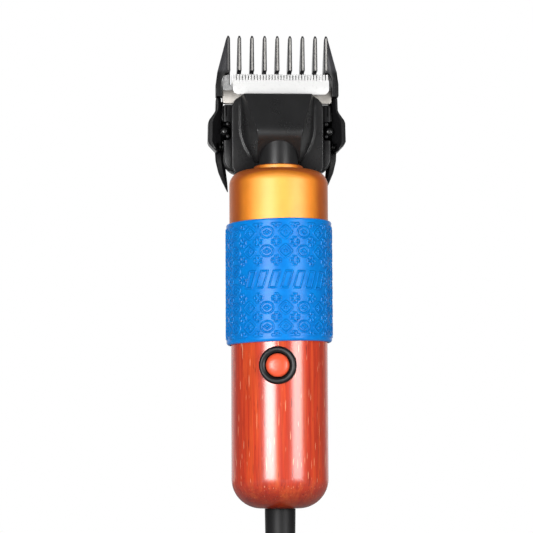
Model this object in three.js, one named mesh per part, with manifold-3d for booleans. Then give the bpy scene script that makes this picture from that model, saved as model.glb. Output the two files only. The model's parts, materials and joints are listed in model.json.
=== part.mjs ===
// Corded hand clipper for animal coats: a turned wooden handle and an anodised motor barrel under a
// rubber sleeve, a rocker-driven blade head on a short neck, and a clip-on guide comb.
// Millimetres. The origin is the centre of the cord's flat cut end, +Z runs up the axis towards the comb,
// and -Y is the front, where the push switch and the cutter face the user. Heights below are measured
// from the handle's butt; the whole assembly is lifted at the end.
import * as THREE from "three";
import { ConvexGeometry } from "three/addons/geometries/ConvexGeometry.js";
import { mergeVertices } from "three/addons/utils/BufferGeometryUtils.js";
import Module from "manifold-3d";

const wasm = await Module();
wasm.setup();

// ---------------------------------------------------------------- driving dimensions
const FINE = 24; // segments round the large outer shells
const ROUND = 20; // segments round ordinary turned pieces
const SMALL = 12; // segments round screws and pins

const HANDLE = { r: 19.6, bore: 15.5, top: 84, floor: 9.5, fillet: 12, cordHole: 5.3 };
const HANDLE_TURN = THREE.MathUtils.degToRad(-5.6); // the handle's switch sits a little off the head's front
const SLEEVE = { r: 21.6, z0: 66.05, z1: 115.05, lip: 0.9 };
const BARREL = { r: 20, bore: 17.6, z0: 84.3, top: 136.2, fillet: 5.5, wall: 3 };
const COLLAR = { r: 10.4, rTop: 8.7, height: 2.3 };
const NECK = { r: 7.9, bore: 6.2, top: 149.4, flangeR: 11, flangeZ: 131.4, shoulder: 133 };
const JOINT_RING = { bore: 13, r: 15.2, z0: 73, spigotR: 17.3, spigotBore: 16, top: 91 };
const JOINT_SCREW = { z: 79, r: 1.2, tip: 13.4, headR: 2.4, under: 17.6, head: 19.2 };
const SWITCH = {
  z: 56.5, bezelR: 7.45, sleeveR: 5.95, bore: 5, capR: 4.75, nutR: 8.1, back: -9.6, floor: -11
};
const CORD = { r: 3.2, z0: -62, z1: 22 };
const RELIEF = { z0: -42, rLow: 4, rTop: 6.2, groove: 0.8, neckR: 5.1, headR: 8, head: 12.2 };

const MOTOR = { r: 15.8, wall: 1.2, z0: 93, z1: 126, mouth: 3.3 };
const END_BELL = { r: 15.4, z0: 89.4, z1: 92.4, rimOut: 14.4, rimIn: 13.4, rim: 94.5 };
const BRUSH = { z: 97.4, half: 1.75, height: 3, from: 4.2, to: 10.4 };
const MAGNET_ARC = { inner: 12.1, outer: 14.4, z0: 101.5, length: 20, span: THREE.MathUtils.degToRad(62) };
const ARMATURE = { poles: 5, hubR: 4.6, r: 11.3, shoe: 1.4, z0: 103, z1: 120, spoke: 3.4 };
const WINDING = { inner: 4.8, outer: 9.4, turns: 2, barX: 7.6 };
const COMMUTATOR = { r: 4, z0: 94.5, z1: 100.3 };
const FAN = { blades: 7, hubR: 4.4, z0: 127.4, z1: 130.2, bladeLength: 8.6, tilt: 0.5 };
const SHAFT = { r: 2, z0: 87.5, z1: 151, fit: 0.05 };
const BUSH = { r: 3.2, rear: [89.6, 92.2], front: [124.6, 126.6], neck: [134.5, 140] };
const BEARING = { z0: 142.6, z1: 147, innerR: 3.2, outerR: 4.95, balls: 7, ballR: 0.66 };

const CRANK_THROW = 1.2; // eccentric pin's offset from the shaft
const ECCENTRIC = { r: 4.2, z0: 148.9, z1: 151.3, pinR: 1.4, pinTop: 155.3 };
const ROLLER = { r: 2.5, z0: 151.5, z1: 155.3 };
const ROCKER = { z: 159.5, hubR: 3, y0: -0.9, y1: 2.9, finger: 7.8 };
const ROCKER_TILT = Math.asin(CRANK_THROW / (ROCKER.z - (ROLLER.z0 + ROLLER.z1) / 2));
const CUTTER_SHIFT = ROCKER.finger * Math.sin(ROCKER_TILT); // the cutter rests at the end of its stroke

const HEAD = { half: 22.1, z0: 136.8, z1: 165.3, y0: 7, y1: 15.5, screwFace: 13.6 };
const COVER = { half: 18.9, z0: 135.2, z1: 168.8, y0: 4.5, y1: 6.8, wall: 1.8 };
const HUMP = { crest: 151.3, crestY: -10.5, crestHalf: 9.1, topY: 0, topHalf: 14, foot: 140.9, footR: 8.9 };
const BLADE = { half: 22.5, z0: 165.7, root: 173.5, tip: 178, y0: 6.8, y1: 9.4, teeth: 30, toothed: 18.9 };
const BLADE_TAIL = { half: 14, gap: 3.3, z0: 150.6 };
const CUTTER = { half: 19.8, z0: 169.1, root: 175, tip: 177.4, y0: 4.2, y1: 6.7, teeth: 32 };
const TONGUE = { half: 11, z0: 162.8 }; // the cutter's narrow tail, under the tension spring
const BLADE_SCREW = { x: 10.5, z: 154.5, r: 1.35, headR: 2.2 };
const COVER_SCREW = { r: 1.05, headR: 2, places: [[-17, 141], [17, 141], [-17, 162], [17, 162]] };
const TENSION = { thick: 0.5, seatY: 6.15, bladeY: 3.65, legIn: 7.6, legOut: 10.2 };
const COMB = { pitch: 5.16, tooth: 1.6, tip: 193.8, step: 179.2, half: 25.3, railIn: 22.7, z0: 168.6 };
const COMB_BAR = { half: 22.5, z0: 166.6, z1: 173.3, y0: 9.7, y1: 12.2 };
const PIVOT = { x: 21.6, z: 154.3, r: 1.1, knob: 2, earR: 3.2, earY: 12.6 };
const LEVER = { y0: 7.6, y1: 16, tailY0: 15.8, tailY1: 19 };
const SPRING = { y: 10.2, z: 148.1, r: 1.75, x0: 18.6, x1: 25 }; // bore of each latch spring

// ---------------------------------------------------------------- materials
const finish = (color, roughness, metalness) =>
  new THREE.MeshStandardMaterial({ color, roughness, metalness });
const WOOD = finish(0xcc4b27, 0.25, 0);
const GOLD = finish(0xe99a2c, 0.35, 1);
const RUBBER_BLUE = finish(0x0a78dc, 0.5, 0);
const BLACK = finish(0x2c2c2e, 0.5, 0);
const BLACK_GLOSS = finish(0x1d1d1f, 0.3, 0);
const RED = finish(0xee5a3c, 0.35, 0);
const CERAMIC = finish(0xf4f4f2, 0.2, 0);
const STEEL = finish(0xb9b5ae, 0.35, 1);
const BRONZE = finish(0xa9763d, 0.45, 1);
const COPPER = finish(0xb5632f, 0.4, 1);
const MAGNET = finish(0x3a3b3f, 0.6, 0.3);
const CARBON = finish(0x232323, 0.8, 0);
const BOARD = finish(0x1f6b3c, 0.55, 0);
const WIRE_BROWN = finish(0x6b3a1e, 0.5, 0);
const WIRE_BLUE = finish(0x2f62a8, 0.5, 0);

// ---------------------------------------------------------------- solid helpers
// A closed manifold-3d solid from a three.js geometry, turned the right way out.
function solid(geometry) {
  const bare = geometry.index ? geometry.toNonIndexed() : geometry.clone();
  for (const name of Object.keys(bare.attributes)) if (name !== "position") bare.deleteAttribute(name);
  const merged = mergeVertices(bare, 1e-4);
  const corners = [];
  for (let i = 0; i < merged.index.count; i += 3) {
    const [a, b, c] = merged.index.array.slice(i, i + 3);
    if (a !== b && b !== c && c !== a) corners.push([a, b, c]);
  }
  const build = (triangles) =>
    new wasm.Manifold(
      new wasm.Mesh({
        numProp: 3,
        vertProperties: new Float32Array(merged.attributes.position.array),
        triVerts: new Uint32Array(triangles.flat()),
      }),
    );
  const made = build(corners);
  return made.volume() > 0 ? made : build(corners.map(([a, b, c]) => [a, c, b]));
}

function geometryOf(manifold) {
  const mesh = manifold.getMesh();
  const geometry = new THREE.BufferGeometry();
  geometry.setAttribute("position", new THREE.BufferAttribute(new Float32Array(mesh.vertProperties), 3));
  geometry.setIndex(new THREE.BufferAttribute(new Uint32Array(mesh.triVerts), 1));
  geometry.computeVertexNormals();
  return geometry;
}

const union = (...solids) => solids.reduce((a, b) => a.add(b));
const cut = (body, ...tools) => tools.reduce((a, b) => a.subtract(b), body);
const vectors = (points) => points.map(([a, b]) => new THREE.Vector2(a, b));

// A profile of [radius, z] pairs turned about Z.
const turned = (points, segments = ROUND) =>
  solid(new THREE.LatheGeometry(vectors(points), segments).rotateX(Math.PI / 2));

// A profile of [radius, y] pairs turned about a line along Y through (x, z).
const turnedY = (points, x, z, segments = SMALL) =>
  solid(new THREE.LatheGeometry(vectors(points), segments).translate(x, 0, z));

const disc = (r, z0, z1, segments = ROUND) => turned([[0, z0], [r, z0], [r, z1], [0, z1]], segments);
const ring = (r0, r1, z0, z1, segments = ROUND) =>
  turned([[r0, z0], [r1, z0], [r1, z1], [r0, z1], [r0, z0]], segments);
const pinY = (r, x, z, y0, y1, segments = SMALL) =>
  turnedY([[0, y0], [r, y0], [r, y1], [0, y1]], x, z, segments);

function block(x0, x1, y0, y1, z0, z1) {
  const box = new THREE.BoxGeometry(x1 - x0, y1 - y0, z1 - z0);
  return solid(box.translate((x0 + x1) / 2, (y0 + y1) / 2, (z0 + z1) / 2));
}

// A block on one side of x = 0: s is 1 or -1, x0 and x1 are distances, and y runs from -half to half.
const sideBlock = (s, x0, x1, half, z0, z1) => block(s > 0 ? x0 : -x1, s > 0 ? x1 : -x0, -half, half, z0, z1);

// An outline in the XZ plane, as a THREE.Shape, carried from y0 to y1.
function slabY(shape, y0, y1, curveSegments = 6) {
  const slab = new THREE.ExtrudeGeometry(shape, { depth: y1 - y0, bevelEnabled: false, curveSegments });
  return solid(slab.rotateX(Math.PI / 2).translate(0, y1, 0));
}

// An outline in the YZ plane carried from x0 to x1.
function slabX(shape, x0, x1, curveSegments = 6) {
  const slab = new THREE.ExtrudeGeometry(shape, { depth: x1 - x0, bevelEnabled: false, curveSegments });
  const toX = new THREE.Matrix4().makeBasis(
    new THREE.Vector3(0, 1, 0),
    new THREE.Vector3(0, 0, 1),
    new THREE.Vector3(1, 0, 0),
  );
  return solid(slab.applyMatrix4(toX).translate(x0, 0, 0));
}

const outline = (points) => new THREE.Shape(vectors(points));

// A rectangle with its own radius at the lower and the upper corners.
function roundedRect(half, z0, z1, rLow, rHigh) {
  const s = new THREE.Shape();
  s.moveTo(-half + rLow, z0);
  s.lineTo(half - rLow, z0);
  s.absarc(half - rLow, z0 + rLow, rLow, -Math.PI / 2, 0);
  s.lineTo(half, z1 - rHigh);
  s.absarc(half - rHigh, z1 - rHigh, rHigh, 0, Math.PI / 2);
  s.lineTo(-half + rHigh, z1);
  s.absarc(-half + rHigh, z1 - rHigh, rHigh, Math.PI / 2, Math.PI);
  s.lineTo(-half, z0 + rLow);
  s.absarc(-half + rLow, z0 + rLow, rLow, Math.PI, Math.PI * 1.5);
  return s;
}

// Points of a quarter circle about (cr, cz), from angle a0 to a1 in degrees.
function arc(cr, cz, r, a0, a1, steps) {
  return Array.from({ length: steps + 1 }, (_, i) => {
    const a = THREE.MathUtils.degToRad(a0 + ((a1 - a0) * i) / steps);
    return [cr + r * Math.cos(a), cz + r * Math.sin(a)];
  });
}

// Round wire or cord along a list of [x, y, z] points.
function wire(points, r, steps, quarter = 3) {
  const path = new THREE.CatmullRomCurve3(points.map((p) => new THREE.Vector3(...p)));
  const section = new THREE.Shape();
  section.absarc(0, 0, r, 0, Math.PI * 2);
  const options = { extrudePath: path, steps, bevelEnabled: false, curveSegments: quarter };
  return solid(new THREE.ExtrudeGeometry(section, options));
}

// Coil spring along Z from z0 to z1.
function coil(r, wireR, z0, z1, turns) {
  const steps = turns * 8;
  const points = Array.from({ length: steps + 1 }, (_, i) => {
    const a = (i / 8) * Math.PI * 2;
    return [r * Math.cos(a), r * Math.sin(a), z0 + wireR + ((z1 - z0 - 2 * wireR) * i) / steps];
  });
  return wire(points, wireR, steps, 2);
}

// ---------------------------------------------------------------- handle and grip
// Space the motor barrel and its collar need, grown by a clearance, for cutting the head round them.
function barrelEnvelope(clear) {
  const top = BARREL.top + clear;
  const fillet = arc(BARREL.r - BARREL.fillet, BARREL.top - BARREL.fillet, BARREL.fillet + clear, 0, 90, 5);
  return turned([
    [0, BARREL.top - 20], [BARREL.r + clear, BARREL.top - 20], ...fillet,
    [COLLAR.r + clear, top], [COLLAR.r + clear, top + COLLAR.height], [0, top + COLLAR.height],
  ]);
}

const neckRoom = () => disc(NECK.r + 0.15, 130, NECK.top + 0.6);

function handleShell() {
  const shell = turned([
    [HANDLE.cordHole, 0],
    ...arc(HANDLE.r - HANDLE.fillet, HANDLE.fillet, HANDLE.fillet, -90, 0, 6),
    [HANDLE.r, HANDLE.top], [HANDLE.bore, HANDLE.top], [HANDLE.bore, HANDLE.floor],
    [HANDLE.cordHole, HANDLE.floor], [HANDLE.cordHole, 0],
  ], FINE);
  const switchHole = pinY(SWITCH.sleeveR + 0.15, 0, SWITCH.z, -25, -8, ROUND);
  const spotFace = pinY(SWITCH.bezelR + 0.2, 0, SWITCH.z, -25, -18, ROUND);
  const nutFace = pinY(SWITCH.nutR + 0.3, 0, SWITCH.z, -13.2, -6, ROUND);
  return cut(shell, switchHole, spotFace, nutFace, ...jointScrewAxes().map((a) => screwHole(a)));
}

function gripSleeve() {
  const { r, z0, z1, lip } = SLEEVE;
  const inner = BARREL.r + 0.05;
  return turned([
    [inner, z0], [r - lip, z0], [r, z0 + lip], [r, z1 - lip], [r - lip / 2, z1], [inner, z1], [inner, z0],
  ], FINE);
}

function motorBarrel() {
  const { r, bore, z0, top, fillet, wall } = BARREL;
  return turned([
    [bore, z0], [r, z0], ...arc(r - fillet, top - fillet, fillet, 0, 90, 5),
    [NECK.r + 0.1, top], [NECK.r + 0.1, top - wall], [bore, top - wall], [bore, z0],
  ], FINE);
}

function collarRing() {
  const z = BARREL.top + 0.1;
  const inner = NECK.r + 0.12;
  const top = z + COLLAR.height;
  return turned([
    [inner, z], [COLLAR.r, z], [COLLAR.r, z + 0.7], [COLLAR.rTop + 0.4, top - 0.25], [COLLAR.rTop, top],
    [inner, top], [inner, z],
  ], FINE);
}

// The threaded ring that joins the wooden handle to the barrel.
const jointRing = () =>
  cut(jointRingBlank(), ...jointScrewAxes().map((a) => jointThreadHole(a)));

function jointRingBlank() {
  const { bore, r, z0, spigotR, spigotBore, top } = JOINT_RING;
  return turned([
    [bore, z0], [r, z0], [r, HANDLE.top + 0.1], [spigotR, HANDLE.top + 0.6], [spigotR, top],
    [spigotBore, top],
    [spigotBore, top - 2.4], [bore, top - 4.4], [bore, z0],
  ], FINE);
}

const jointScrewAxes = () => [0, Math.PI];
// A profile of [offset from the screw's axis, distance from the handle's axis] pairs.
function radial(points, angle) {
  const upright = new THREE.LatheGeometry(vectors(points), SMALL);
  return solid(upright.rotateZ(-Math.PI / 2 + angle).translate(0, 0, JOINT_SCREW.z));
}
const steppedPin = (r, tip, headR, under, end) =>
  [[0, tip], [r, tip], [r, under], [headR, under], [headR, end], [0, end]];
function screwHole(angle) {
  const { r, headR, under } = JOINT_SCREW;
  return radial(steppedPin(r + 0.3, 12, headR + 0.3, under - 0.2, HANDLE.r + 2.4), angle);
}
const jointThreadHole = (angle) =>
  radial([[0, 12], [JOINT_SCREW.r + 0.1, 12], [JOINT_SCREW.r + 0.1, 16], [0, 16]], angle);
function jointScrew(angle) {
  const { r, tip, headR, under, head } = JOINT_SCREW;
  return radial(steppedPin(r, tip, headR, under, head), angle);
}

// ---------------------------------------------------------------- switch
// Its axis lies along Y; the profile is [radius, y] and y falls towards the user.
function switchBezel() {
  const { bore, bezelR, sleeveR, back, floor } = SWITCH;
  const seat = -18.15;
  const rim = -20.9;
  return turnedY([
    [bore, -15], [bore, rim + 0.9], [bore + 0.5, rim + 0.1], [bezelR - 1, rim], [bezelR, rim + 0.9],
    [bezelR, seat],
    [sleeveR, seat], [sleeveR, back], [1.8, back], [1.8, floor], [bore, floor], [bore, -15],
  ], 0, SWITCH.z, ROUND);
}
const switchNut = () =>
  cut(
    pinY(SWITCH.nutR, 0, SWITCH.z, -13, SWITCH.floor, 6),
    pinY(SWITCH.sleeveR + 0.1, 0, SWITCH.z, -14, -10, ROUND),
  );
const switchBody = () => block(-6, 6, -9.3, -1.2, SWITCH.z - 6.5, SWITCH.z + 6.5);
function buttonCap() {
  const { capR } = SWITCH;
  const under = -17.5;
  const stemR = 1.5;
  return turnedY([
    [0, -22], [2.6, -21.8], [4.2, -21.1], [capR, -20.2], [capR, under], [stemR, under], [stemR, -12],
    [0, -12],
  ], 0, SWITCH.z, ROUND);
}
const buttonSpring = () =>
  solid(geometryOf(coil(3, 0.3, -17.4, -11.2, 4)).rotateX(-Math.PI / 2).translate(0, 0, SWITCH.z));

// ---------------------------------------------------------------- cord and electrics
function strainRelief() {
  const { z0, rLow, rTop, groove, neckR, headR, head } = RELIEF;
  const hole = CORD.r + 0.15;
  const skin = (z) => 5.55 + z * 0.02;
  const slot = (z) => [
    [skin(z), z - 2.2], [skin(z) - groove, z - 1.7], [skin(z) - groove, z - 0.5], [skin(z), z],
  ];
  return turned([
    [hole, z0], [rLow, z0], ...[-35, -25].flatMap(slot), [5.6, -12], [rTop, -0.3], [neckR, -0.3],
    [neckR, HANDLE.floor + 0.3], [headR, HANDLE.floor + 0.3], [headR, head], [hole, head], [hole, z0],
  ]);
}
const powerCable = () => disc(CORD.r, CORD.z0, CORD.z1);
const cordClamp = () => ring(CORD.r + 0.1, 5.6, 13.5, 17.5);
const circuitBoard = () => block(-10, 10, 7, 8.6, 27, 70);
const bridgeRectifier = () => block(-5, 5, 2.6, 6.8, 31, 41);
const lead = (side) =>
  wire([
    [side * 1.4, 0.6, 23], [side * 3, 2, 25.6], [side * 8.6, 4.5, 30], [side * 9, 3, 48], [side * 9, 3, 64],
    [side * 8, 1, 78], [side * 7, 0, 88.6],
  ], 0.9, 12);

// ---------------------------------------------------------------- motor
const around = (count, make) => Array.from({ length: count }, (_, i) => make((i * 2 * Math.PI) / count));
const shaftHole = (z0, z1) => disc(SHAFT.r + SHAFT.fit, z0, z1, SMALL);

function motorCan() {
  const { r, wall, z0, z1, mouth } = MOTOR;
  const inner = r - wall;
  return turned([
    [inner, z0], [r, z0], [r, z1 - 1], [r - 1, z1], [mouth, z1], [mouth, z1 - wall],
    [inner, z1 - wall], [inner, z0],
  ]);
}

function motorEndBell() {
  const { r, z0, z1, rimOut, rimIn, rim } = END_BELL;
  const bell = turned([
    [MOTOR.mouth, z0], [r, z0], [r, z1 + 0.4], [rimOut, z1 + 0.4], [rimOut, rim], [rimIn, rim], [rimIn, z1],
    [MOTOR.mouth, z1], [MOTOR.mouth, z0],
  ]);
  const holder = (s) => sideBlock(s, 6, 12.5, 2.7, 92, 100);
  const pocket = (s) => sideBlock(s, 5, 11, BRUSH.half + 0.15, BRUSH.z - 1.7, BRUSH.z + 1.7);
  return cut(union(bell, holder(1), holder(-1)), pocket(1), pocket(-1));
}

const brush = (s) =>
  sideBlock(s, BRUSH.from, BRUSH.to, BRUSH.half, BRUSH.z - BRUSH.height / 2, BRUSH.z + BRUSH.height / 2);

function magnet(s) {
  const { inner, outer, z0, length, span } = MAGNET_ARC;
  const shape = new THREE.Shape();
  shape.absarc(0, 0, outer, -span, span);
  shape.absarc(0, 0, inner, span, -span, true);
  const bar = new THREE.ExtrudeGeometry(shape, { depth: length, bevelEnabled: false, curveSegments: 10 });
  return solid(bar.rotateZ(s > 0 ? 0 : Math.PI).translate(0, 0, z0));
}

function armaturePole(turn) {
  const { r, shoe, z0, z1, spoke } = ARMATURE;
  const length = z1 - z0;
  const shape = new THREE.Shape();
  shape.absarc(0, 0, r, -0.5, 0.5);
  shape.absarc(0, 0, r - shoe, 0.5, -0.5, true);
  const cap = new THREE.ExtrudeGeometry(shape, { depth: length, bevelEnabled: false, curveSegments: 4 });
  const web = new THREE.BoxGeometry(9, spoke, length).translate(5.9, 0, (z0 + z1) / 2);
  return union(solid(web.rotateZ(turn)), solid(cap.rotateZ(turn).translate(0, 0, z0)));
}

function armatureCore() {
  const { poles, hubR, z0, z1 } = ARMATURE;
  return cut(union(disc(hubR, z0, z1, SMALL), ...around(poles, armaturePole)), shaftHole(z0 - 1, z1 + 1));
}

// Enamelled wire in the slots between the poles, joined by the end turns.
function armatureWinding() {
  const { inner, outer, turns, barX } = WINDING;
  const { poles, z0, z1 } = ARMATURE;
  const bar = (turn) => {
    const wires = new THREE.BoxGeometry(2.6, 4, z1 - z0 + 3).translate(barX, 0, (z0 + z1) / 2);
    return solid(wires.rotateZ(turn + Math.PI / poles));
  };
  const endTurn = (z) => ring(inner, outer, z, z + turns, SMALL);
  return union(endTurn(z0 - turns - 0.1), endTurn(z1 + 0.1), ...around(poles, bar));
}

const commutator = () => ring(SHAFT.r + SHAFT.fit, COMMUTATOR.r, COMMUTATOR.z0, COMMUTATOR.z1, SMALL);
const motorShaft = () => disc(SHAFT.r, SHAFT.z0, SHAFT.z1, SMALL);
const bush = (r, [z0, z1]) => ring(SHAFT.r + 0.09, r, z0, z1, SMALL);

function coolingFan() {
  const { blades, hubR, z0, z1, bladeLength, tilt } = FAN;
  const blade = (turn) => {
    const vane = new THREE.BoxGeometry(bladeLength, 0.8, 2.6).rotateX(tilt);
    return solid(vane.translate(hubR + 3.5, 0, (z0 + z1) / 2).rotateZ(turn));
  };
  return cut(union(disc(hubR, z0, z1, SMALL), ...around(blades, blade)), shaftHole(z0 - 1, z1 + 1));
}

// ---------------------------------------------------------------- neck and crank
function neckTube() {
  const { r, bore, top, flangeR, flangeZ, shoulder } = NECK;
  return turned([
    [bore, flangeZ], [flangeR, flangeZ], [flangeR, shoulder], [r, shoulder], [r, top], [bore, top],
    [bore, flangeZ],
  ], FINE);
}
const outerRace = () => ring(BEARING.outerR, NECK.bore - 0.08, BEARING.z0, BEARING.z1, SMALL);
const innerRace = () => ring(SHAFT.r + SHAFT.fit, BEARING.innerR, BEARING.z0, BEARING.z1, SMALL);

function ballCage() {
  const { z0, z1, innerR, outerR, balls, ballR } = BEARING;
  const track = (innerR + outerR) / 2;
  const centre = (z0 + z1) / 2;
  const ball = (turn) => {
    const sphere = new THREE.IcosahedronGeometry(ballR, 0);
    return solid(sphere.translate(track * Math.cos(turn), track * Math.sin(turn), centre));
  };
  return union(ring(track - 0.32, track + 0.32, centre - 0.35, centre + 0.35, 14), ...around(balls, ball));
}

// A disc on the shaft's end with a pin set off by the throw; it rests with the pin towards -X.
function eccentric() {
  const { r, z0, z1, pinR, pinTop } = ECCENTRIC;
  const height = pinTop - z1 + 0.1;
  const pin = new THREE.CylinderGeometry(pinR, pinR, height, SMALL).rotateX(Math.PI / 2);
  const placed = solid(pin.translate(-CRANK_THROW, 0, pinTop - height / 2));
  return cut(union(disc(r, z0, z1), placed), shaftHole(z0 - 1, SHAFT.z1 + 0.1));
}
const eccentricRoller = () => ring(ECCENTRIC.pinR + 0.08, ROLLER.r, ROLLER.z0, ROLLER.z1, SMALL);

// The rocker's own frame has its pivot at the origin and its long arm along +Z, towards the cutter.
const ROCKER_PIN = { r: 1.5, headR: 2.4, headY: -1.9, tipY: 13 };
function driveRocker() {
  const { hubR, y0, y1, finger } = ROCKER;
  const reach = 2 * CRANK_THROW + ROLLER.r + 0.4; // leaves the roller room at every pair of poses
  const thick = 1.8;
  const low = ROLLER.z0 - ROCKER.z + 1.3;
  const high = ROLLER.z1 - ROCKER.z + 0.9;
  const fork = block(-reach - thick, reach + thick, -2.4, y1, low, high + 0.8);
  const slot = block(-reach, reach, -3, y1 + 1, low - 1, high + 1);
  const bridge = block(-reach - thick, reach + thick, 0.4, y1, high, high + 2);
  const arm = block(-1.7, 1.7, y1 - 1, y1, 0, finger + 0.6);
  const tip = pinY(1.15, 0, finger, y1 - 1, 6.6);
  const hub = pinY(hubR, 0, 0, y0, y1);
  return cut(union(cut(fork, slot), bridge, arm, tip, hub), pinY(ROCKER_PIN.r + 0.08, 0, 0, y0 - 1, y1 + 1));
}

function rockerPin() {
  const { r, headR, headY, tipY } = ROCKER_PIN;
  const profile = [[0, headY], [headR, headY], [headR, headY + 0.8], [r, headY + 0.8], [r, tipY], [0, tipY]];
  return turnedY(profile, 0, ROCKER.z);
}

// ---------------------------------------------------------------- blade set
// An edge of teeth from x0 to x1 as [x, z] points, left to right.
function teeth(x0, x1, count, root, tip) {
  const pitch = (x1 - x0) / count;
  return Array.from({ length: count }, (_, i) => {
    const x = x0 + i * pitch;
    const at = (part, z) => [x + part * pitch, z];
    return [at(0.16, root), at(0.32, tip), at(0.68, tip), at(0.84, root)];
  }).flat();
}

// The comb-shaped lower blade: wide toothed plate, with a tail on two screws.
function bottomBlade() {
  const { half, z0, root, tip, toothed, y0, y1 } = BLADE;
  const corner = 1.6;
  const crown = { across: 2.7, up: 4.6 };
  const slot = 0.7; // the gap between the end lobes and the teeth
  const shoulder = tip - 0.4;
  const lobe = Array.from({ length: 5 }, (_, i) => {
    const a = (i * Math.PI) / 8;
    return [half - crown.across * (1 - Math.cos(a)), shoulder - crown.up * (1 - Math.sin(a))];
  });
  const plate = outline([
    [-BLADE_TAIL.half, z0 + 1], [-half + corner, z0], [-half, z0 + corner], ...lobe.map(([x, z]) => [-x, z]),
    [-toothed - slot, shoulder], [-toothed - slot, root],
    ...teeth(-toothed, toothed, BLADE.teeth, root, tip),
    [toothed + slot, root], [toothed + slot, shoulder],
    ...lobe.reverse(), [half, z0 + corner], [half - corner, z0], [BLADE_TAIL.half, z0 + 1],
  ]);
  const band = block(-BLADE_TAIL.half, BLADE_TAIL.half, y0, y1, BLADE_TAIL.z0, z0 + 1.5);
  const tailSlot = block(-BLADE_TAIL.gap, BLADE_TAIL.gap, y0 - 1, y1 + 1, BLADE_TAIL.z0 - 1, 163.2);
  const relief = block(-half - 1, half + 1, y0 - 1, y0 + 0.35, 170.5, 171);
  return cut(union(slabY(plate, y0, y1), band), tailSlot, relief, bladeScrewHole(1), bladeScrewHole(-1));
}
const bladeScrewHole = (s) => pinY(BLADE_SCREW.r + 0.25, s * BLADE_SCREW.x, BLADE_SCREW.z, 5, 11);

// The reciprocating upper blade, centred on x = 0 in its own frame.
function cutter() {
  const { half, z0, root, tip, y0, y1 } = CUTTER;
  const corner = 2.2;
  const inset = 0.28;
  const plate = outline([
    ...arc(half - corner, z0 + corner, corner, -90, 0, 5), [half, root],
    ...teeth(-half + inset, half - inset, CUTTER.teeth, root, tip).reverse(), [-half, root],
    ...arc(-half + corner, z0 + corner, corner, 180, 270, 5),
  ]);
  const tail = block(-TONGUE.half, TONGUE.half, y0, y1, TONGUE.z0, z0 + 2);
  return cut(union(slabY(plate, y0, y1), tail), fingerSlot());
}
const fingerSlot = () => block(-1.35, 1.35, 2, 8, 165.6, 169);

const cutterCarrier = () => cut(block(-5.6, 5.6, 3.1, 4.15, TONGUE.z0, 168.6), fingerSlot());

// Flat spring clamped under the blade screws; its two legs hold the cutter against the blade.
function tensionSpring() {
  const { thick, seatY, bladeY, legIn, legOut } = TENSION;
  const foot = block(-13.2, 13.2, seatY, seatY + thick, 152, 156.2);
  const legSide = outline([
    [seatY, 155.8], [seatY + thick, 155.8], [seatY + thick, 157], [bladeY + 0.45, 162],
    [bladeY + 0.45, 166.6],
    [bladeY, 166.6], [bladeY, 161.8], [seatY, 156.8],
  ]);
  const leg = (s) => slabX(legSide, s > 0 ? legIn : -legOut, s > 0 ? legOut : -legIn);
  return cut(union(foot, leg(1), leg(-1)), bladeScrewHole(1), bladeScrewHole(-1));
}

function bladeScrew(s) {
  const { x, z, r, headR } = BLADE_SCREW;
  const profile = [[0, 4.2], [headR, 4.2], [headR, 6], [r, 6], [r, 13], [0, 13]];
  return turnedY(profile, s * x, z);
}

// ---------------------------------------------------------------- head housing
const POST = { r: 2.9, y0: 3.1 }; // boss that carries the rocker's pin
const NOTCH = { x: 18.9, z0: 150.4, z1: 158.2 }; // room for each latch's knob
const LIP = { x: 22.7, z0: 158.7, z1: 165.2, y0: 9.5, y1: 15.4 }; // rib beside each latch

function headBase() {
  const { half, z0, z1, y0, y1, screwFace } = HEAD;
  const body = slabY(roundedRect(half, z0, z1, 6.5, 1), y0, y1);
  const post = pinY(POST.r, 0, ROCKER.z, POST.y0, y0 + 4);
  const bladeSeat = block(-BLADE_TAIL.half - 0.3, BLADE_TAIL.half + 0.3, 6, BLADE.y1 + 0.1, 150.3, 170);
  const notch = (s) => block(s > 0 ? NOTCH.x : -26, s > 0 ? 26 : -NOTCH.x, 6, PIVOT.earY, NOTCH.z0, NOTCH.z1);
  const lip = (s) => block(s > 0 ? 20 : -LIP.x, s > 0 ? LIP.x : -20, LIP.y0, LIP.y1, LIP.z0, LIP.z1);
  const ear = (s) => pinY(PIVOT.earR, s * PIVOT.x, PIVOT.z, PIVOT.earY, y1);
  const latchBore = (s) => pinY(PIVOT.r + 0.05, s * PIVOT.x, PIVOT.z, 5, 14.6);
  const screwBore = ([x, z]) =>
    turnedY([
      [0, 6], [COVER_SCREW.r + 0.1, 6], [COVER_SCREW.r + 0.1, screwFace],
      [COVER_SCREW.headR + 0.15, screwFace],
      [COVER_SCREW.headR + 0.15, 17], [0, 17],
    ], x, z);
  const threadBore = (s) => pinY(BLADE_SCREW.r + 0.1, s * BLADE_SCREW.x, BLADE_SCREW.z, 8, 13.4);
  const sides = [1, -1];
  return cut(
    union(cut(body, bladeSeat, ...sides.map(notch)), post, ...sides.map(ear), ...sides.map(lip)),
    barrelEnvelope(0.5), neckRoom(), pinY(ROCKER_PIN.r + 0.1, 0, ROCKER.z, 2, 13.4),
    ...sides.map(latchBore), ...sides.map(springPocket), ...COVER_SCREW.places.map(screwBore),
    ...sides.map(threadBore),
  );
}

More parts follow.
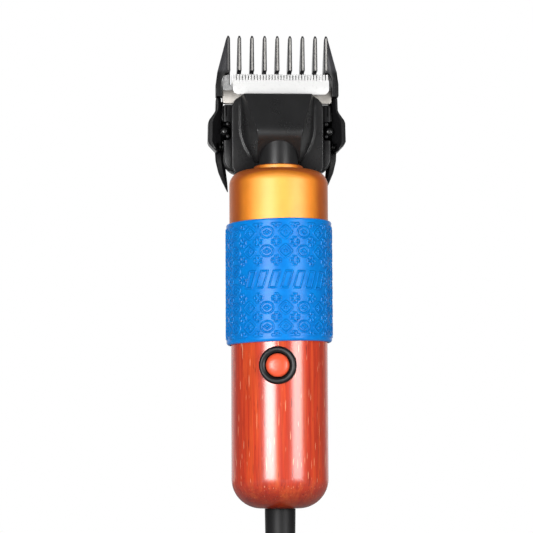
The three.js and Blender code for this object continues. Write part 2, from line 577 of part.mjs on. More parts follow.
// The humped part of the cover, over the crank and rocker: a ramp that falls from the neck to the cutter.
function hump(inset) {
  const { crest, crestY, crestHalf, topY, topHalf, foot, footR } = HUMP;
  const topZ = COVER.z1 + (inset ? 2 : 0);
  const rampY = (z) => crestY + ((z - crest) / (COVER.z1 - crest)) * (topY - crestY) + inset;
  const backY = COVER.y0 + 2 * inset;
  const half = [
    [topHalf - inset, rampY(topZ), topZ],
    [crestHalf - inset, rampY(crest), crest - inset / 2],
    [topHalf + 0.6 - inset, backY, topZ],
    [15.3 - inset, backY, 158],
    [13.2 - inset, backY, 147.5 + inset],
    [footR - inset / 2, backY, foot + inset],
    [footR - inset, -0.5 + inset, foot + 1.5 + inset],
  ];
  const corners = [1, -1].flatMap((s) => half.map(([x, y, z]) => new THREE.Vector3(s * x, y, z)));
  return solid(new ConvexGeometry(corners));
}

function headCover() {
  const { half, z0, z1, y0, y1, wall } = COVER;
  const flange = slabY(roundedRect(half, z0, z1, 5, 6), y0, y1);
  const screwBore = ([x, z]) => pinY(COVER_SCREW.r + 0.1, x, z, 5.3, 8);
  const cutterPath = block(-TONGUE.half - 2, TONGUE.half + 2, 3.6, 8, 160, 170);
  const springSeat = block(-13.5, 13.5, 6, 8, 151.7, 170);
  const screwHeadRoom = (s) => pinY(BLADE_SCREW.headR + 0.4, s * BLADE_SCREW.x, BLADE_SCREW.z, 3.9, 8);
  const crankRoom = disc(6, 140, 152);
  return cut(
    union(flange, hump(0)), hump(wall), cutterPath, springSeat, screwHeadRoom(1), screwHeadRoom(-1),
    barrelEnvelope(0.5), neckRoom(), crankRoom, ...COVER_SCREW.places.map(screwBore),
  );
}

function coverScrew([x, z]) {
  const { r, headR } = COVER_SCREW;
  const under = HEAD.screwFace + 0.2;
  return turnedY([[0, 5.6], [r, 5.6], [r, under], [headR, under], [headR, 15.2], [0, 15.2]], x, z);
}

// ---------------------------------------------------------------- latches
// One latch lever in place on the +X side; the -X one is its mirror image.
function latchLever() {
  const { y0, y1, tailY0, tailY1 } = LEVER;
  const body = outline([
    [22.9, 168.1], [25.1, 168.1], [25.2, 163.4], [28.2, 159], [28.5, 157.6], [28.5, 150.2], [28, 149],
    [24.8, 146.2],
    [24, 146.2], [22.9, 150.4],
  ]);
  const tail = outline([
    [28.3, 152.5], [28.3, 149.3], [25, 146.4], [25.1, 143.6], [24.6, 140], [23.4, 136], [21.7, 132.5],
    [20.4, 130.2],
    [20, 130.2], [20.2, 134.2], [20.7, 138.4], [21.2, 143.3], [21.5, 146.8], [21.8, 149.6], [22.4, 152.5],
  ]);
  const flange = block(21.8, 25, tailY0, tailY0 + 1, 151, 165.5);
  const nose = block(22.95, 25.1, 11.1, 14.4, 167, 173);
  const knob = pinY(PIVOT.knob, PIVOT.x, PIVOT.z, y0, 12.4);
  const arm = block(PIVOT.x, 23.5, y0, 12.4, PIVOT.z - 1.9, PIVOT.z + 1.9);
  const joined = union(slabY(body, y0, y1), slabY(tail, tailY0, tailY1), flange, nose, knob, arm);
  const earRoom = pinY(PIVOT.earR + 0.4, PIVOT.x, PIVOT.z, 12.5, tailY0 - 0.1);
  const bore = pinY(PIVOT.r + 0.07, PIVOT.x, PIVOT.z, 5, 13);
  return cut(joined, earRoom, bore, springPocket(1));
}

// Bore for the latch spring, shared by the housing and the lever, along X just below the pivot.
function springPocket(s) {
  const { y, z, r, x0, x1 } = SPRING;
  const bore = new THREE.CylinderGeometry(r, r, x1 - x0, 16).rotateZ(Math.PI / 2);
  return solid(bore.translate((s * (x0 + x1)) / 2, y, z));
}
const latchSpring = () =>
  solid(
    geometryOf(coil(1.2, 0.25, SPRING.x0 + 0.15, SPRING.x1 - 1.1, 4))
      .rotateY(Math.PI / 2)
      .translate(0, SPRING.y, SPRING.z),
  );
function latchPin() {
  const { x, z, r } = PIVOT;
  return turnedY([[0, 7], [1.5, 7.05], [1.5, 7.5], [r, 7.5], [r, 14.4], [0, 14.4]], x, z, 16);
}

// ---------------------------------------------------------------- guide comb
function guideComb() {
  const { pitch, tooth, tip, step, half, railIn, z0 } = COMB;
  const toothSide = outline([
    [5.6, tip], [4.7, tip - 1.2], [4.7, step], [COMB_BAR.y0, step], [COMB_BAR.y0, COMB_BAR.z0],
    [COMB_BAR.y1, COMB_BAR.z0], [14.6, 172], [14.6, 179.5], [9, 191], [6.8, tip - 0.4],
  ]);
  const inner = [-3, -2, -1, 0, 1, 2, 3].map((i) =>
    slabX(toothSide, i * pitch - tooth / 2, i * pitch + tooth / 2),
  );
  const wing = (s) =>
    slabY(outline([
      [s * 19.5, tip - 1.2], [s * 20.1, tip], [s * 20.9, tip - 1.2], [s * 24.6, 178.8],
      [s * half, 174], [s * half, z0],
      [s * railIn, z0], [s * railIn, 175], [s * 21.6, 178], [s * 19.5, step],
    ]), 5, 10.7);
  const wingKeel = (s) => slabX(toothSide, s * 20.2 - 0.7, s * 20.2 + 0.7);
  const bar = block(-COMB_BAR.half, COMB_BAR.half, COMB_BAR.y0, COMB_BAR.y1, COMB_BAR.z0, COMB_BAR.z1);
  const tie = (s) => block(s > 0 ? 22 : -24.6, s > 0 ? 24.6 : -22, COMB_BAR.y0, 10.7, z0, COMB_BAR.z1);
  return union(...inner, ...[1, -1].flatMap((s) => [wing(s), wingKeel(s), tie(s)]), bar);
}

// ---------------------------------------------------------------- assembly
const clipper = new THREE.Group();
clipper.position.z = -CORD.z0;
const handle = new THREE.Group();
const headGroup = new THREE.Group();
const rockerGroup = new THREE.Group();
const cutterGroup = new THREE.Group();
const leftLatch = new THREE.Group();
const rightLatch = new THREE.Group();
clipper.add(handle, headGroup, rockerGroup, cutterGroup, leftLatch, rightLatch);
handle.rotation.z = HANDLE_TURN;
rockerGroup.position.z = ROCKER.z;
rockerGroup.rotation.y = ROCKER_TILT;
cutterGroup.position.x = CUTTER_SHIFT;
leftLatch.scale.x = -1;

function place(group, name, body, material) {
  const mesh = new THREE.Mesh(geometryOf(body), material);
  mesh.name = name;
  group.add(mesh);
  return mesh;
}

place(handle, "handle_shell", handleShell(), WOOD);
place(handle, "joint_ring", jointRing(), STEEL);
jointScrewAxes().forEach((a, i) => place(handle, `joint_screw_${i + 1}`, jointScrew(a), STEEL));
place(handle, "switch_bezel", switchBezel(), BLACK_GLOSS);
place(handle, "switch_nut", switchNut(), STEEL);
place(handle, "switch_body", switchBody(), BLACK);
place(handle, "button_cap", buttonCap(), RED);
place(handle, "button_spring", buttonSpring(), STEEL);
place(handle, "strain_relief", strainRelief(), BLACK);
place(handle, "power_cable", powerCable(), BLACK_GLOSS);
place(handle, "cord_clamp", cordClamp(), BLACK);
place(handle, "circuit_board", circuitBoard(), BOARD);
place(handle, "bridge_rectifier", bridgeRectifier(), BLACK);
place(handle, "lead_live", lead(1), WIRE_BROWN);
place(handle, "lead_neutral", lead(-1), WIRE_BLUE);

place(clipper, "grip_sleeve", gripSleeve(), RUBBER_BLUE);
place(clipper, "motor_barrel", motorBarrel(), GOLD);
place(clipper, "collar_ring", collarRing(), GOLD);
place(clipper, "motor_can", motorCan(), STEEL);
place(clipper, "motor_end_bell", motorEndBell(), BLACK);
place(clipper, "magnet_left", magnet(-1), MAGNET);
place(clipper, "magnet_right", magnet(1), MAGNET);
place(clipper, "armature_core", armatureCore(), STEEL);
place(clipper, "armature_winding", armatureWinding(), COPPER);
place(clipper, "commutator", commutator(), COPPER);
place(clipper, "brush_left", brush(-1), CARBON);
place(clipper, "brush_right", brush(1), CARBON);
place(clipper, "motor_shaft", motorShaft(), STEEL);
place(clipper, "rear_bush", bush(BUSH.r, BUSH.rear), BRONZE);
place(clipper, "front_bush", bush(BUSH.r, BUSH.front), BRONZE);
place(clipper, "cooling_fan", coolingFan(), BLACK);
place(clipper, "neck_tube", neckTube(), BLACK_GLOSS);
place(clipper, "neck_bush", bush(NECK.bore - 0.08, BUSH.neck), BRONZE);
place(clipper, "bearing_outer_race", outerRace(), STEEL);
place(clipper, "bearing_inner_race", innerRace(), STEEL);
place(clipper, "bearing_ball_cage", ballCage(), STEEL);
place(clipper, "eccentric", eccentric(), STEEL);
place(clipper, "eccentric_roller", eccentricRoller(), STEEL).position.x = -CRANK_THROW;

place(rockerGroup, "drive_rocker", driveRocker(), STEEL);
place(headGroup, "rocker_pin", rockerPin(), STEEL);
place(cutterGroup, "cutter", cutter(), CERAMIC);
place(cutterGroup, "cutter_carrier", cutterCarrier(), BLACK);
place(headGroup, "tension_spring", tensionSpring(), STEEL);
place(headGroup, "bottom_blade", bottomBlade(), STEEL);
place(headGroup, "blade_screw_left", bladeScrew(-1), STEEL);
place(headGroup, "blade_screw_right", bladeScrew(1), STEEL);
place(headGroup, "head_base", headBase(), BLACK);
place(headGroup, "head_cover", headCover(), BLACK);
COVER_SCREW.places.forEach((at, i) => place(headGroup, `cover_screw_${i + 1}`, coverScrew(at), STEEL));

for (const [group, side] of [[leftLatch, "left"], [rightLatch, "right"]]) {
  place(group, `latch_lever_${side}`, latchLever(), BLACK);
  place(group, `latch_pin_${side}`, latchPin(), STEEL);
  place(group, `latch_spring_${side}`, latchSpring(), STEEL);
}
place(clipper, "guide_comb", guideComb(), BLACK);

export default new THREE.Group().add(clipper);
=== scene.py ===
"""Corded animal clipper with a guide comb: fine surfaces, materials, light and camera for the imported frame.

Lengths are millimetres in the frame's directions, and heights are measured from the handle's butt:
+Z runs up the axis to the comb, -Y is the front, where the switch and the cutter face the user."""

import json
import math

import bmesh
import bpy
import numpy as np
from mathutils import Matrix, Vector


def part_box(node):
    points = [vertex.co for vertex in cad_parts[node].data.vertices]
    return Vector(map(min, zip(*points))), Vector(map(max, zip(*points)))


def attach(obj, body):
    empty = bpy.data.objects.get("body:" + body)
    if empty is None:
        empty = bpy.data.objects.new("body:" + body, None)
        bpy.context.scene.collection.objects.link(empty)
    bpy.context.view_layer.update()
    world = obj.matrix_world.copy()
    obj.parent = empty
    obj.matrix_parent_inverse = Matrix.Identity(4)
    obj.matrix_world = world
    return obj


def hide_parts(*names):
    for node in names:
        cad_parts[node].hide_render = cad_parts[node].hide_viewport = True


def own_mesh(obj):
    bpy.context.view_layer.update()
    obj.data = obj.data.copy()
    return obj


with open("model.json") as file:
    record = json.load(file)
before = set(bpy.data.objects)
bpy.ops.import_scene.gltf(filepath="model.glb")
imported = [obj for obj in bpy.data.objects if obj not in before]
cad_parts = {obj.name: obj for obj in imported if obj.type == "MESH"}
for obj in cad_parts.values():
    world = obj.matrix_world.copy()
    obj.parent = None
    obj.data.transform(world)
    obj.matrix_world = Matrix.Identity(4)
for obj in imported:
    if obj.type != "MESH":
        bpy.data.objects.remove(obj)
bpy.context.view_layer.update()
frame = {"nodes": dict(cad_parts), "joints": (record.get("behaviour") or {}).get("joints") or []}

# ---- sizes
MM = 0.001
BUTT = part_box("handle_shell")[0][2] / MM  # height of the handle's butt above the cable's cut end
TURNED = 160  # segments round the large outer shells
SMALL_TURNED = 48  # segments round screws, pins and knobs

JOINTS = {joint["name"]: joint for joint in frame["joints"]}
PRESS = Vector(JOINTS["button_press"]["axis"])
HANDLE_TURN = -math.atan2(PRESS.x, PRESS.y)  # the handle's switch sits a little off the head's front

HANDLE = {"r": 19.55, "bore": 15.5, "top": 84, "floor": 9.5, "fillet": 12, "cord": 5.3}
SWITCH = {"z": 56.5, "hole": 6.15, "seat": 7.6, "seat_y": -18.12}
SLEEVE = {"r": 21.35, "inner": 20.08, "z0": 66.05, "z1": 115.05, "lip": 1.1, "skew": 0.55}
BARREL = {"r": 20.05, "bore": 17.6, "z0": 84.3, "top": 136.2, "fillet": 5.5}
COLLAR = {"r": 10.0, "top": 9.2, "height": 2.3}
NECK = {"r": 7.9, "bore": 6.2, "z0": 133, "top": 149.4}
COVER = {"half": 18.9, "z0": 135.2, "z1": 168.8, "y": 4.5, "thick": 2.3, "low": 5.0, "high": 6.0}
BASE = {"half": 22.1, "z0": 136.8, "z1": 165.3, "y0": 7.0, "y1": 15.5}
BLADE = {
    "half": 22.5, "toothed": 18.9, "teeth": 30, "z0": 165.7, "step": 170.8, "root": 173.5, "tip": 178,
    "y0": 6.8, "y1": 9.4,
}
CUTTER = {"half": 19.8, "z0": 169.1, "root": 175, "tip": 177.4, "y0": 4.2, "y1": 6.7, "teeth": 32}
COMB = {
    "pitch": 5.22, "offset": 0.15, "outer": 20.2, "tip": 193.8, "step": 179.2, "half": 25.3, "z0": 168.42,
    "root": 166.6, "bar_top": 173.3,
}
PIVOT = {"x": 21.6, "z": 154.3}
BUTTON_SPRING = {"r": 3.0, "wire": 0.3, "y0": -17.4, "y1": -11.2, "turns": 4}
LATCH_SPRING = {"r": 1.2, "wire": 0.25, "x0": 18.75, "x1": 23.9, "y": 10.2, "z": 148.1, "turns": 4}
COVER_SCREWS = [(-17, 141), (17, 141), (-17, 162), (17, 162)]


def middle(node):
    """Centre of a CAD node's box, in millimetres, with its height measured from the butt."""
    low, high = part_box(node)
    centre = [(a + b) / 2 / MM for a, b in zip(low, high)]
    return centre[0], centre[1], centre[2] - BUTT


# ---- outlines
def rounded(points, steps=6, closed=True):
    """Points of an outline whose corners are arcs: each corner is (a, b) or (a, b, radius)."""
    made, count = [], len(points)
    for i, point in enumerate(points):
        here = Vector(point[:2])
        radius = point[2] if len(point) > 2 else 0
        if not radius or (not closed and i in (0, count - 1)):
            made.append(tuple(here))
            continue
        to_last = (Vector(points[i - 1][:2]) - here).normalized()
        to_next = (Vector(points[(i + 1) % count][:2]) - here).normalized()
        half = to_last.angle(to_next) / 2
        back = radius / math.tan(half)
        start, end = here + to_last * back, here + to_next * back
        centre = here + (to_last + to_next).normalized() * (radius / math.sin(half))
        swing = (end - centre).angle_signed(start - centre)
        for k in range(steps + 1):
            made.append(tuple(centre + Matrix.Rotation(swing * k / steps, 2) @ (start - centre)))
    return made


def arc(a, b, radius, start, end, steps):
    """Points round (a, b), from one angle in degrees to another."""
    angles = [math.radians(start + (end - start) * k / steps) for k in range(steps + 1)]
    return [(a + radius * math.cos(t), b + radius * math.sin(t)) for t in angles]


def rect(x0, x1, z0, z1, radius=0, steps=6):
    """A rectangle's corners, or its outline if they are rounded."""
    corners = [(x0, z0), (x1, z0), (x1, z1), (x0, z1)]
    return rounded([(*corner, radius) for corner in corners], steps) if radius else corners


def mirrored(points):
    """The same outline on the other side of x = 0, kept in the same turning order."""
    return [(-p[0], *p[1:]) for p in reversed(points)]


# ---- shapes: (vertices, faces) in millimetres
def shape_of(bm):
    bm.verts.index_update()
    return [tuple(v.co) for v in bm.verts], [[v.index for v in f.verts] for f in bm.faces]


def joined(*shapes):
    verts, faces = [], []
    for points, polygons in shapes:
        faces += [[i + len(verts) for i in polygon] for polygon in polygons]
        verts += [tuple(p) for p in points]
    return verts, faces


def moved(shape, x=0, y=0, z=0, turn=0, axis="Z"):
    matrix = Matrix.Translation((x, y, z)) @ Matrix.Rotation(turn, 4, axis)
    return [tuple(matrix @ Vector(p)) for p in shape[0]], shape[1]


def lathe(profile, segments=TURNED, axis="Z"):
    """A closed [radius, height] profile turned about Z, or about Y with its heights along Y."""
    verts, rows = [], []
    for radius, height in profile:
        around = 1 if radius < 1e-6 else segments
        row = []
        for k in range(around):
            t = 2 * math.pi * k / segments
            across, along = radius * math.cos(t), radius * math.sin(t)
            row.append(len(verts))
            verts.append((across, height, along) if axis == "Y" else (across, along, height))
        rows.append(row)
    faces = []
    for i, row in enumerate(rows):
        other = rows[(i + 1) % len(rows)]
        if len(row) == 1 and len(other) == 1:
            continue
        for k in range(segments):
            j = (k + 1) % segments
            ring = [row[k % len(row)], row[j % len(row)], other[j % len(other)], other[k % len(other)]]
            faces.append(list(dict.fromkeys(ring)))
    return verts, faces


def rod(radius, low, high, segments=32, axis="Y"):
    """A plain cylinder round an axis."""
    return lathe([(0, low), (radius, low), (radius, high), (0, high)], segments, axis)


def slab(outline, low, high, bevel, segments=2):
    """An (x, z) outline carried along Y from low to high, with its sharp edges rounded."""
    bm = bmesh.new()
    ends = [[bm.verts.new((x, y, z)) for x, z in outline] for y in (low, high)]
    count = len(outline)
    for k in range(count):
        j = (k + 1) % count
        bm.faces.new((ends[0][k], ends[0][j], ends[1][j], ends[1][k]))
    bm.faces.new(ends[0])
    bm.faces.new(ends[1])
    bmesh.ops.recalc_face_normals(bm, faces=bm.faces)
    round_edges(bm, bevel, segments)
    made = shape_of(bm)
    bm.free()
    return made


def round_edges(bm, width, segments):
    """Rounds every edge that turns by more than 35 degrees."""
    if not width:
        return
    sharp = [e for e in bm.edges if e.is_manifold and e.calc_face_angle(0) > math.radians(35)]
    bmesh.ops.bevel(
        bm, geom=sharp, offset=width, segments=segments, profile=0.5, affect="EDGES", clamp_overlap=True
    )


def loft(sections):
    """Closed rings of points, one after another, with both ends capped."""
    count = len(sections[0])
    verts = [tuple(p) for section in sections for p in section]
    faces = []
    for i in range(len(sections) - 1):
        for k in range(count):
            j = (k + 1) % count
            a, b = i * count, (i + 1) * count
            faces.append([a + k, a + j, b + j, b + k])
    faces.append(list(range(count)))
    faces.append([len(verts) - count + k for k in range(count)])
    return verts, faces


def placed(name, data):
    made = bpy.data.objects.new(name, data)
    bpy.context.collection.objects.link(made)
    return made


def raw_object(name, shape):
    data = bpy.data.meshes.new(name)
    points = (np.asarray(shape[0], float) + (0, 0, BUTT)) * MM
    data.from_pydata(points.tolist(), [], shape[1])
    bm = bmesh.new()
    bm.from_mesh(data)
    bmesh.ops.recalc_face_normals(bm, faces=bm.faces)
    bm.to_mesh(data)
    bm.free()
    return placed(name, data)


def carve(made, *tools):
    """Cuts the tools' shapes out of an object's mesh."""
    for number, tool_shape in enumerate(tools):
        tool = raw_object(f"{made.name}_tool_{number}", tool_shape)
        cut = made.modifiers.new("cut", "BOOLEAN")
        cut.operation = "DIFFERENCE"
        cut.solver = "EXACT"
        cut.object = tool
        depsgraph = bpy.context.evaluated_depsgraph_get()
        result = bpy.data.meshes.new_from_object(made.evaluated_get(depsgraph))
        made.modifiers.remove(cut)
        made.data = result
        bpy.data.objects.remove(tool)


def finish(made, material, body="housing", hides=(), crease=32):
    """Smooth shading with crisp creases, a material, the CAD nodes it stands for and its body."""
    made.data.materials.clear()
    made.data.materials.append(material)
    made.data.shade_smooth()
    made.data.set_sharp_from_angle(angle=math.radians(crease))
    if hides:
        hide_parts(*hides)
    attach(made, body)
    return made


def piece(name, shape, material, body="housing", hides=(), cuts=(), crease=32):
    made = raw_object(name, shape)
    carve(made, *cuts)
    return finish(made, material, body, hides, crease)


# ---- materials
def add(tree, kind, inputs=None, **settings):
    """A shader node; an input is a value or the socket that feeds it."""
    made = tree.nodes.new("ShaderNode" + kind)
    for key, value in settings.items():
        setattr(made, key, value)
    for key, value in (inputs or {}).items():
        if isinstance(value, bpy.types.NodeSocket):
            tree.links.new(value, made.inputs[key])
        else:
            made.inputs[key].default_value = value
    return made


def start(name, **inputs):
    """A new material with its Principled shader's inputs set; underscores stand for the names' spaces."""
    made = bpy.data.materials.new(name)
    made.use_nodes = True
    shader = made.node_tree.nodes["Principled BSDF"]
    for key, value in inputs.items():
        shader.inputs[key.replace("_", " ")].default_value = value
    return made, made.node_tree, shader


def stretched(tree, x, y, z):
    """Object coordinates scaled so that one unit is one cycle: x, y and z are cycles for each metre."""
    coordinates = add(tree, "TexCoord").outputs["Object"]
    return add(tree, "Mapping", {"Vector": coordinates, "Scale": (x, y, z)}).outputs["Vector"]


def noise(tree, x, y, z, detail=3.0, roughness=0.5, distortion=0.0):
    """Noise with x, y and z cycles for each metre."""
    return add(tree, "TexNoise", {
        "Vector": stretched(tree, x, y, z), "Scale": 1.0, "Detail": detail, "Roughness": roughness,
        "Distortion": distortion,
    }).outputs["Fac"]


def object_xyz(tree):
    """The separate X, Y and Z of a point on the object, in metres."""
    return add(tree, "SeparateXYZ", {"Vector": add(tree, "TexCoord").outputs["Object"]}).outputs


def math_node(tree, operation, *values):
    return add(tree, "Math", dict(enumerate(values)), operation=operation).outputs[0]


def feed(tree, shader, name, socket):
    tree.links.new(socket, shader.inputs[name])


def ramp(tree, factor, stops):
    """A smooth colour ramp from (position, colour) stops."""
    made = add(tree, "ValToRGB", {"Fac": factor})
    made.color_ramp.interpolation = "EASE"
    elements = made.color_ramp.elements
    while len(elements) < len(stops):
        elements.new(0.5)
    for element, (position, colour) in zip(elements, stops):
        element.position = position
        element.color = (*colour, 1.0)
    return made.outputs["Color"]


def grey(value):
    return (value, value, value)


def blend(tree, factor, first, second, mode="MIX"):
    made = add(tree, "Mix", data_type="RGBA", blend_type=mode)
    for index, value in ((0, factor), (6, first), (7, second)):
        if isinstance(value, bpy.types.NodeSocket):
            tree.links.new(value, made.inputs[index])
        elif index:
            made.inputs[index].default_value = (*value, 1.0)
        else:
            made.inputs[index].default_value = value
    return made.outputs[2]


def bump(tree, shader, height, distance, strength):
    made = add(tree, "Bump", {"Height": height, "Distance": distance * MM, "Strength": strength})
    feed(tree, shader, "Normal", made.outputs["Normal"])


def remap(tree, value, from_min, from_max, to_min=0.0, to_max=1.0):
    return add(tree, "MapRange", {
        "Value": value, "From Min": from_min, "From Max": from_max, "To Min": to_min, "To Max": to_max,
    }).outputs["Result"]


def vary(tree, shader, name, factor, low, high):
    """Drives one plain input of the shader between two values."""
    feed(tree, shader, name, remap(tree, factor, 0, 1, low, high))


def lacquered_wood():
    """Red-orange hardwood under clear lacquer: long soft figure, and short cream and dark pores."""
    made, tree, shader = start(
        "lacquered_wood", Coat_Weight=1.0, Coat_Roughness=0.22, Coat_IOR=1.64, Specular_IOR_Level=0.05
    )
    figure = noise(tree, 210, 210, 9, detail=6, roughness=0.65, distortion=0.6)
    wood = ramp(tree, figure, [
        (0.30, (0.40, 0.020, 0.006)), (0.46, (0.53, 0.036, 0.008)), (0.60, (0.64, 0.070, 0.013)),
        (0.74, (0.70, 0.110, 0.018)),
    ])
    fine = noise(tree, 1500, 1500, 60, detail=2)
    streaks = ramp(tree, fine, [(0.3, grey(0.35)), (0.7, grey(1.0))])
    streaked = blend(tree, 0.35, wood, streaks, "MULTIPLY")
    pores = noise(tree, 1500, 1500, 130, detail=1, roughness=0.4)
    dark = ramp(tree, pores, [(0.24, grey(0.8)), (0.32, grey(0))])
    with_dark = blend(tree, dark, streaked, (0.16, 0.012, 0.006))
    height = object_xyz(tree)["Z"]
    side = remap(tree, height, BUTT * MM, (BUTT + 14) * MM)
    flecks = noise(tree, 2300, 2300, 130, detail=0.5, roughness=0.3)
    cream = ramp(tree, flecks, [(0.725, grey(0)), (0.775, grey(0.75))])
    on_sides = math_node(tree, "MULTIPLY", cream, side)
    coloured = blend(tree, on_sides, with_dark, (0.90, 0.50, 0.28))
    # Painted shade: towards the rounded butt the colour is darkened to 0.4 of itself, and the coat below
    # thins to 0.45 there.
    shaded = blend(tree, 1.0, coloured, ramp(tree, side, [(0, grey(0.4)), (1, grey(1))]), "MULTIPLY")
    feed(tree, shader, "Base Color", shaded)
    vary(tree, shader, "Coat Weight", side, 0.45, 1.0)
    vary(tree, shader, "Roughness", fine, 0.32, 0.55)
    bump(tree, shader, pores, 0.05, 0.25)
    return made


def anodised_gold():
    """Satin gold anodising with the fine rings that turning leaves, and painted shade: a deeper, darker
    orange where the surface turns away from the view.
    """
    made, tree, shader = start("anodised_gold", Metallic=1.0, Coat_Weight=1.0, Coat_Roughness=0.42)
    rings = noise(tree, 14, 14, 5200, detail=2, roughness=0.7)
    cloud = noise(tree, 120, 120, 60, detail=4, roughness=0.6)
    facing_shade = add(tree, "LayerWeight", {"Blend": 0.5}).outputs["Facing"]
    # Painted shade: the base colour darkens from yellow to deep orange as the surface turns away from the
    # view.
    tone = ramp(tree, facing_shade, [
        (0.10, (1.0, 0.47, 0.076)), (0.27, (0.96, 0.35, 0.020)), (0.46, (0.72, 0.17, 0.007)),
    ])
    clouded = blend(tree, 1.0, tone, ramp(tree, cloud, [(0.3, grey(0.9)), (0.7, grey(1.0))]), "MULTIPLY")
    feed(tree, shader, "Base Color", clouded)
    vary(tree, shader, "Roughness", rings, 0.64, 0.76)
    grain = noise(tree, 4000, 4000, 4000, detail=1)
    bump(tree, shader, blend(tree, 0.5, rings, grain), 0.02, 0.4)
    return made


def silicone_blue():
    """Satin silicone with a faint dusty mottle, and painted shade that darkens the embossing's creases."""
    made, tree, shader = start("silicone_blue", Specular_IOR_Level=0.17)
    mottle = noise(tree, 260, 260, 260, detail=6, roughness=0.65)
    tone = ramp(tree, mottle, [(0.3, (0.000, 0.152, 0.515)), (0.7, (0.000, 0.192, 0.590))])
    # Painted shade: pointiness darkens the colour to 0.62 of itself in the embossing's creases.
    pointed = add(tree, "NewGeometry").outputs["Pointiness"]
    crease_shade = ramp(tree, pointed, [(0.46, grey(0.62)), (0.505, grey(1.0))])
    feed(tree, shader, "Base Color", blend(tree, 1.0, tone, crease_shade, "MULTIPLY"))
    vary(tree, shader, "Roughness", mottle, 0.26, 0.34)
    bump(tree, shader, noise(tree, 2600, 2600, 2600, detail=2), 0.008, 0.3)
    return made


def moulded(name, tone, roughness, texture=0.03, spread=0.25, specular=0.5, recess=1.0):
    """Moulded plastic or rubber: spark-eroded grain and uneven gloss, with painted shade in its hollows,
    where ambient occlusion lowers the specular level by `recess`.
    """
    made, tree, shader = start(name)
    # Painted shade: ambient occlusion cuts the specular level in hollows and crevices, to darken them.
    open_air = add(tree, "AmbientOcclusion", {"Distance": 9 * MM}, samples=6).outputs["AO"]
    gloss = remap(tree, open_air, 0.52, 0.97, specular * (1 - recess), specular)
    feed(tree, shader, "Specular IOR Level", gloss)
    grain = noise(tree, 2400, 2400, 2400, detail=3, roughness=0.6)
    patches = noise(tree, 90, 90, 90, detail=4, roughness=0.6)
    darker = tuple(c * (1 - spread) for c in tone)
    colour = ramp(tree, patches, [(0.3, darker), (0.7, tone)])
    feed(tree, shader, "Base Color", colour)
    vary(tree, shader, "Roughness", patches, roughness * 0.85, roughness * 1.15)
    bump(tree, shader, grain, texture, 0.4)
    return made


def comb_with_painted_highlight():
    """Black moulding, lighter above the teeth's step and darker below it, with a painted highlight: its front
    ridges are painted a pale grey, dimmed on the outer tooth at -X.
    """
    made, tree, shader = start("comb_black", Specular_IOR_Level=0.22, Roughness=0.34)
    place = object_xyz(tree)
    # Painted highlight: the front ridges are painted pale grey, dimmed to a quarter on the outer tooth at -X.
    highlight_dimming = remap(tree, place["X"], -19 * MM, -18 * MM, 0.25)
    ridge_highlight = remap(tree, place["Y"], 4.80 * MM, 4.92 * MM, highlight_dimming, 0)
    grain = noise(tree, 900, 900, 900, detail=3)
    pale = ramp(tree, grain, [(0.3, (0.24, 0.235, 0.225)), (0.7, (0.36, 0.35, 0.335))])
    # Lighter above the teeth's step and darker below it.
    step = (BUTT + COMB["step"]) * MM
    above_step = remap(tree, place["Z"], step - MM, step + 0.5 * MM)
    plastic = blend(tree, above_step, (0.008, 0.008, 0.0085), (0.030, 0.030, 0.033))
    tone = blend(tree, ridge_highlight, plastic, pale)
    feed(tree, shader, "Base Color", tone)
    bump(tree, shader, grain, 0.02, 0.3)
    return made


def ceramic_white():
    made, tree, shader = start("ceramic_white", Coat_Weight=0.3, Coat_Roughness=0.15)
    speck = noise(tree, 700, 700, 700, detail=3)
    tone = ramp(tree, speck, [(0.3, (0.58, 0.58, 0.575)), (0.7, (0.60, 0.60, 0.595))])
    feed(tree, shader, "Base Color", tone)
    vary(tree, shader, "Roughness", speck, 0.22, 0.36)
    bump(tree, shader, speck, 0.01, 0.2)
    return made


def metal(name, tone, roughness, along=(60, 60, 2600), depth=0.01):
    """Bare metal with a directional finish: `along` gives the cycles for each metre on each axis."""
    made, tree, shader = start(name, Metallic=1.0)
    lines = noise(tree, *along, detail=4, roughness=0.7)
    tarnish = noise(tree, 160, 160, 160, detail=5, roughness=0.6)
    dull = tuple(c * 0.8 for c in tone)
    feed(tree, shader, "Base Color", ramp(tree, tarnish, [(0.35, dull), (0.65, tone)]))
    vary(tree, shader, "Roughness", lines, roughness * 0.7, roughness * 1.3)
    bump(tree, shader, lines, depth, 0.5)
    return made


def etched_steel():
    """Matt, mottled tooth plate that is lapped bright along its teeth."""
    made, tree, shader = start("etched_steel", Roughness=0.5)
    place = object_xyz(tree)
    root = (BUTT + BLADE["root"]) * MM
    above = remap(tree, place["Z"], root - 0.5 * MM, root + 1.5 * MM)
    sideways = math_node(tree, "ABSOLUTE", place["X"])
    among_teeth = math_node(tree, "LESS_THAN", sideways, BLADE["toothed"] * MM)
    lapped = math_node(tree, "MULTIPLY", above, among_teeth)
    mottle = noise(tree, 900, 900, 900, detail=5, roughness=0.7)
    dull = ramp(tree, mottle, [(0.3, grey(0.17)), (0.7, grey(0.38))])
    feed(tree, shader, "Base Color", blend(tree, lapped, dull, grey(0.78)))
    shader.inputs["Metallic"].default_value = 0.25
    bump(tree, shader, mottle, 0.02, 0.5)
    return made


def wound_copper():
    """Enamelled wire laid in rows."""
    made, tree, shader = start("wound_copper", Metallic=0.9, Roughness=0.3, Coat_Weight=0.6)
    rows = add(tree, "TexWave", {"Vector": stretched(tree, 1, 1, 1), "Scale": 420.0}, bands_direction="Z")
    tone = ramp(tree, rows.outputs["Fac"], [(0.1, (0.28, 0.07, 0.02)), (0.6, (0.72, 0.27, 0.09))])
    feed(tree, shader, "Base Color", tone)
    bump(tree, shader, rows.outputs["Fac"], 0.15, 0.6)
    return made


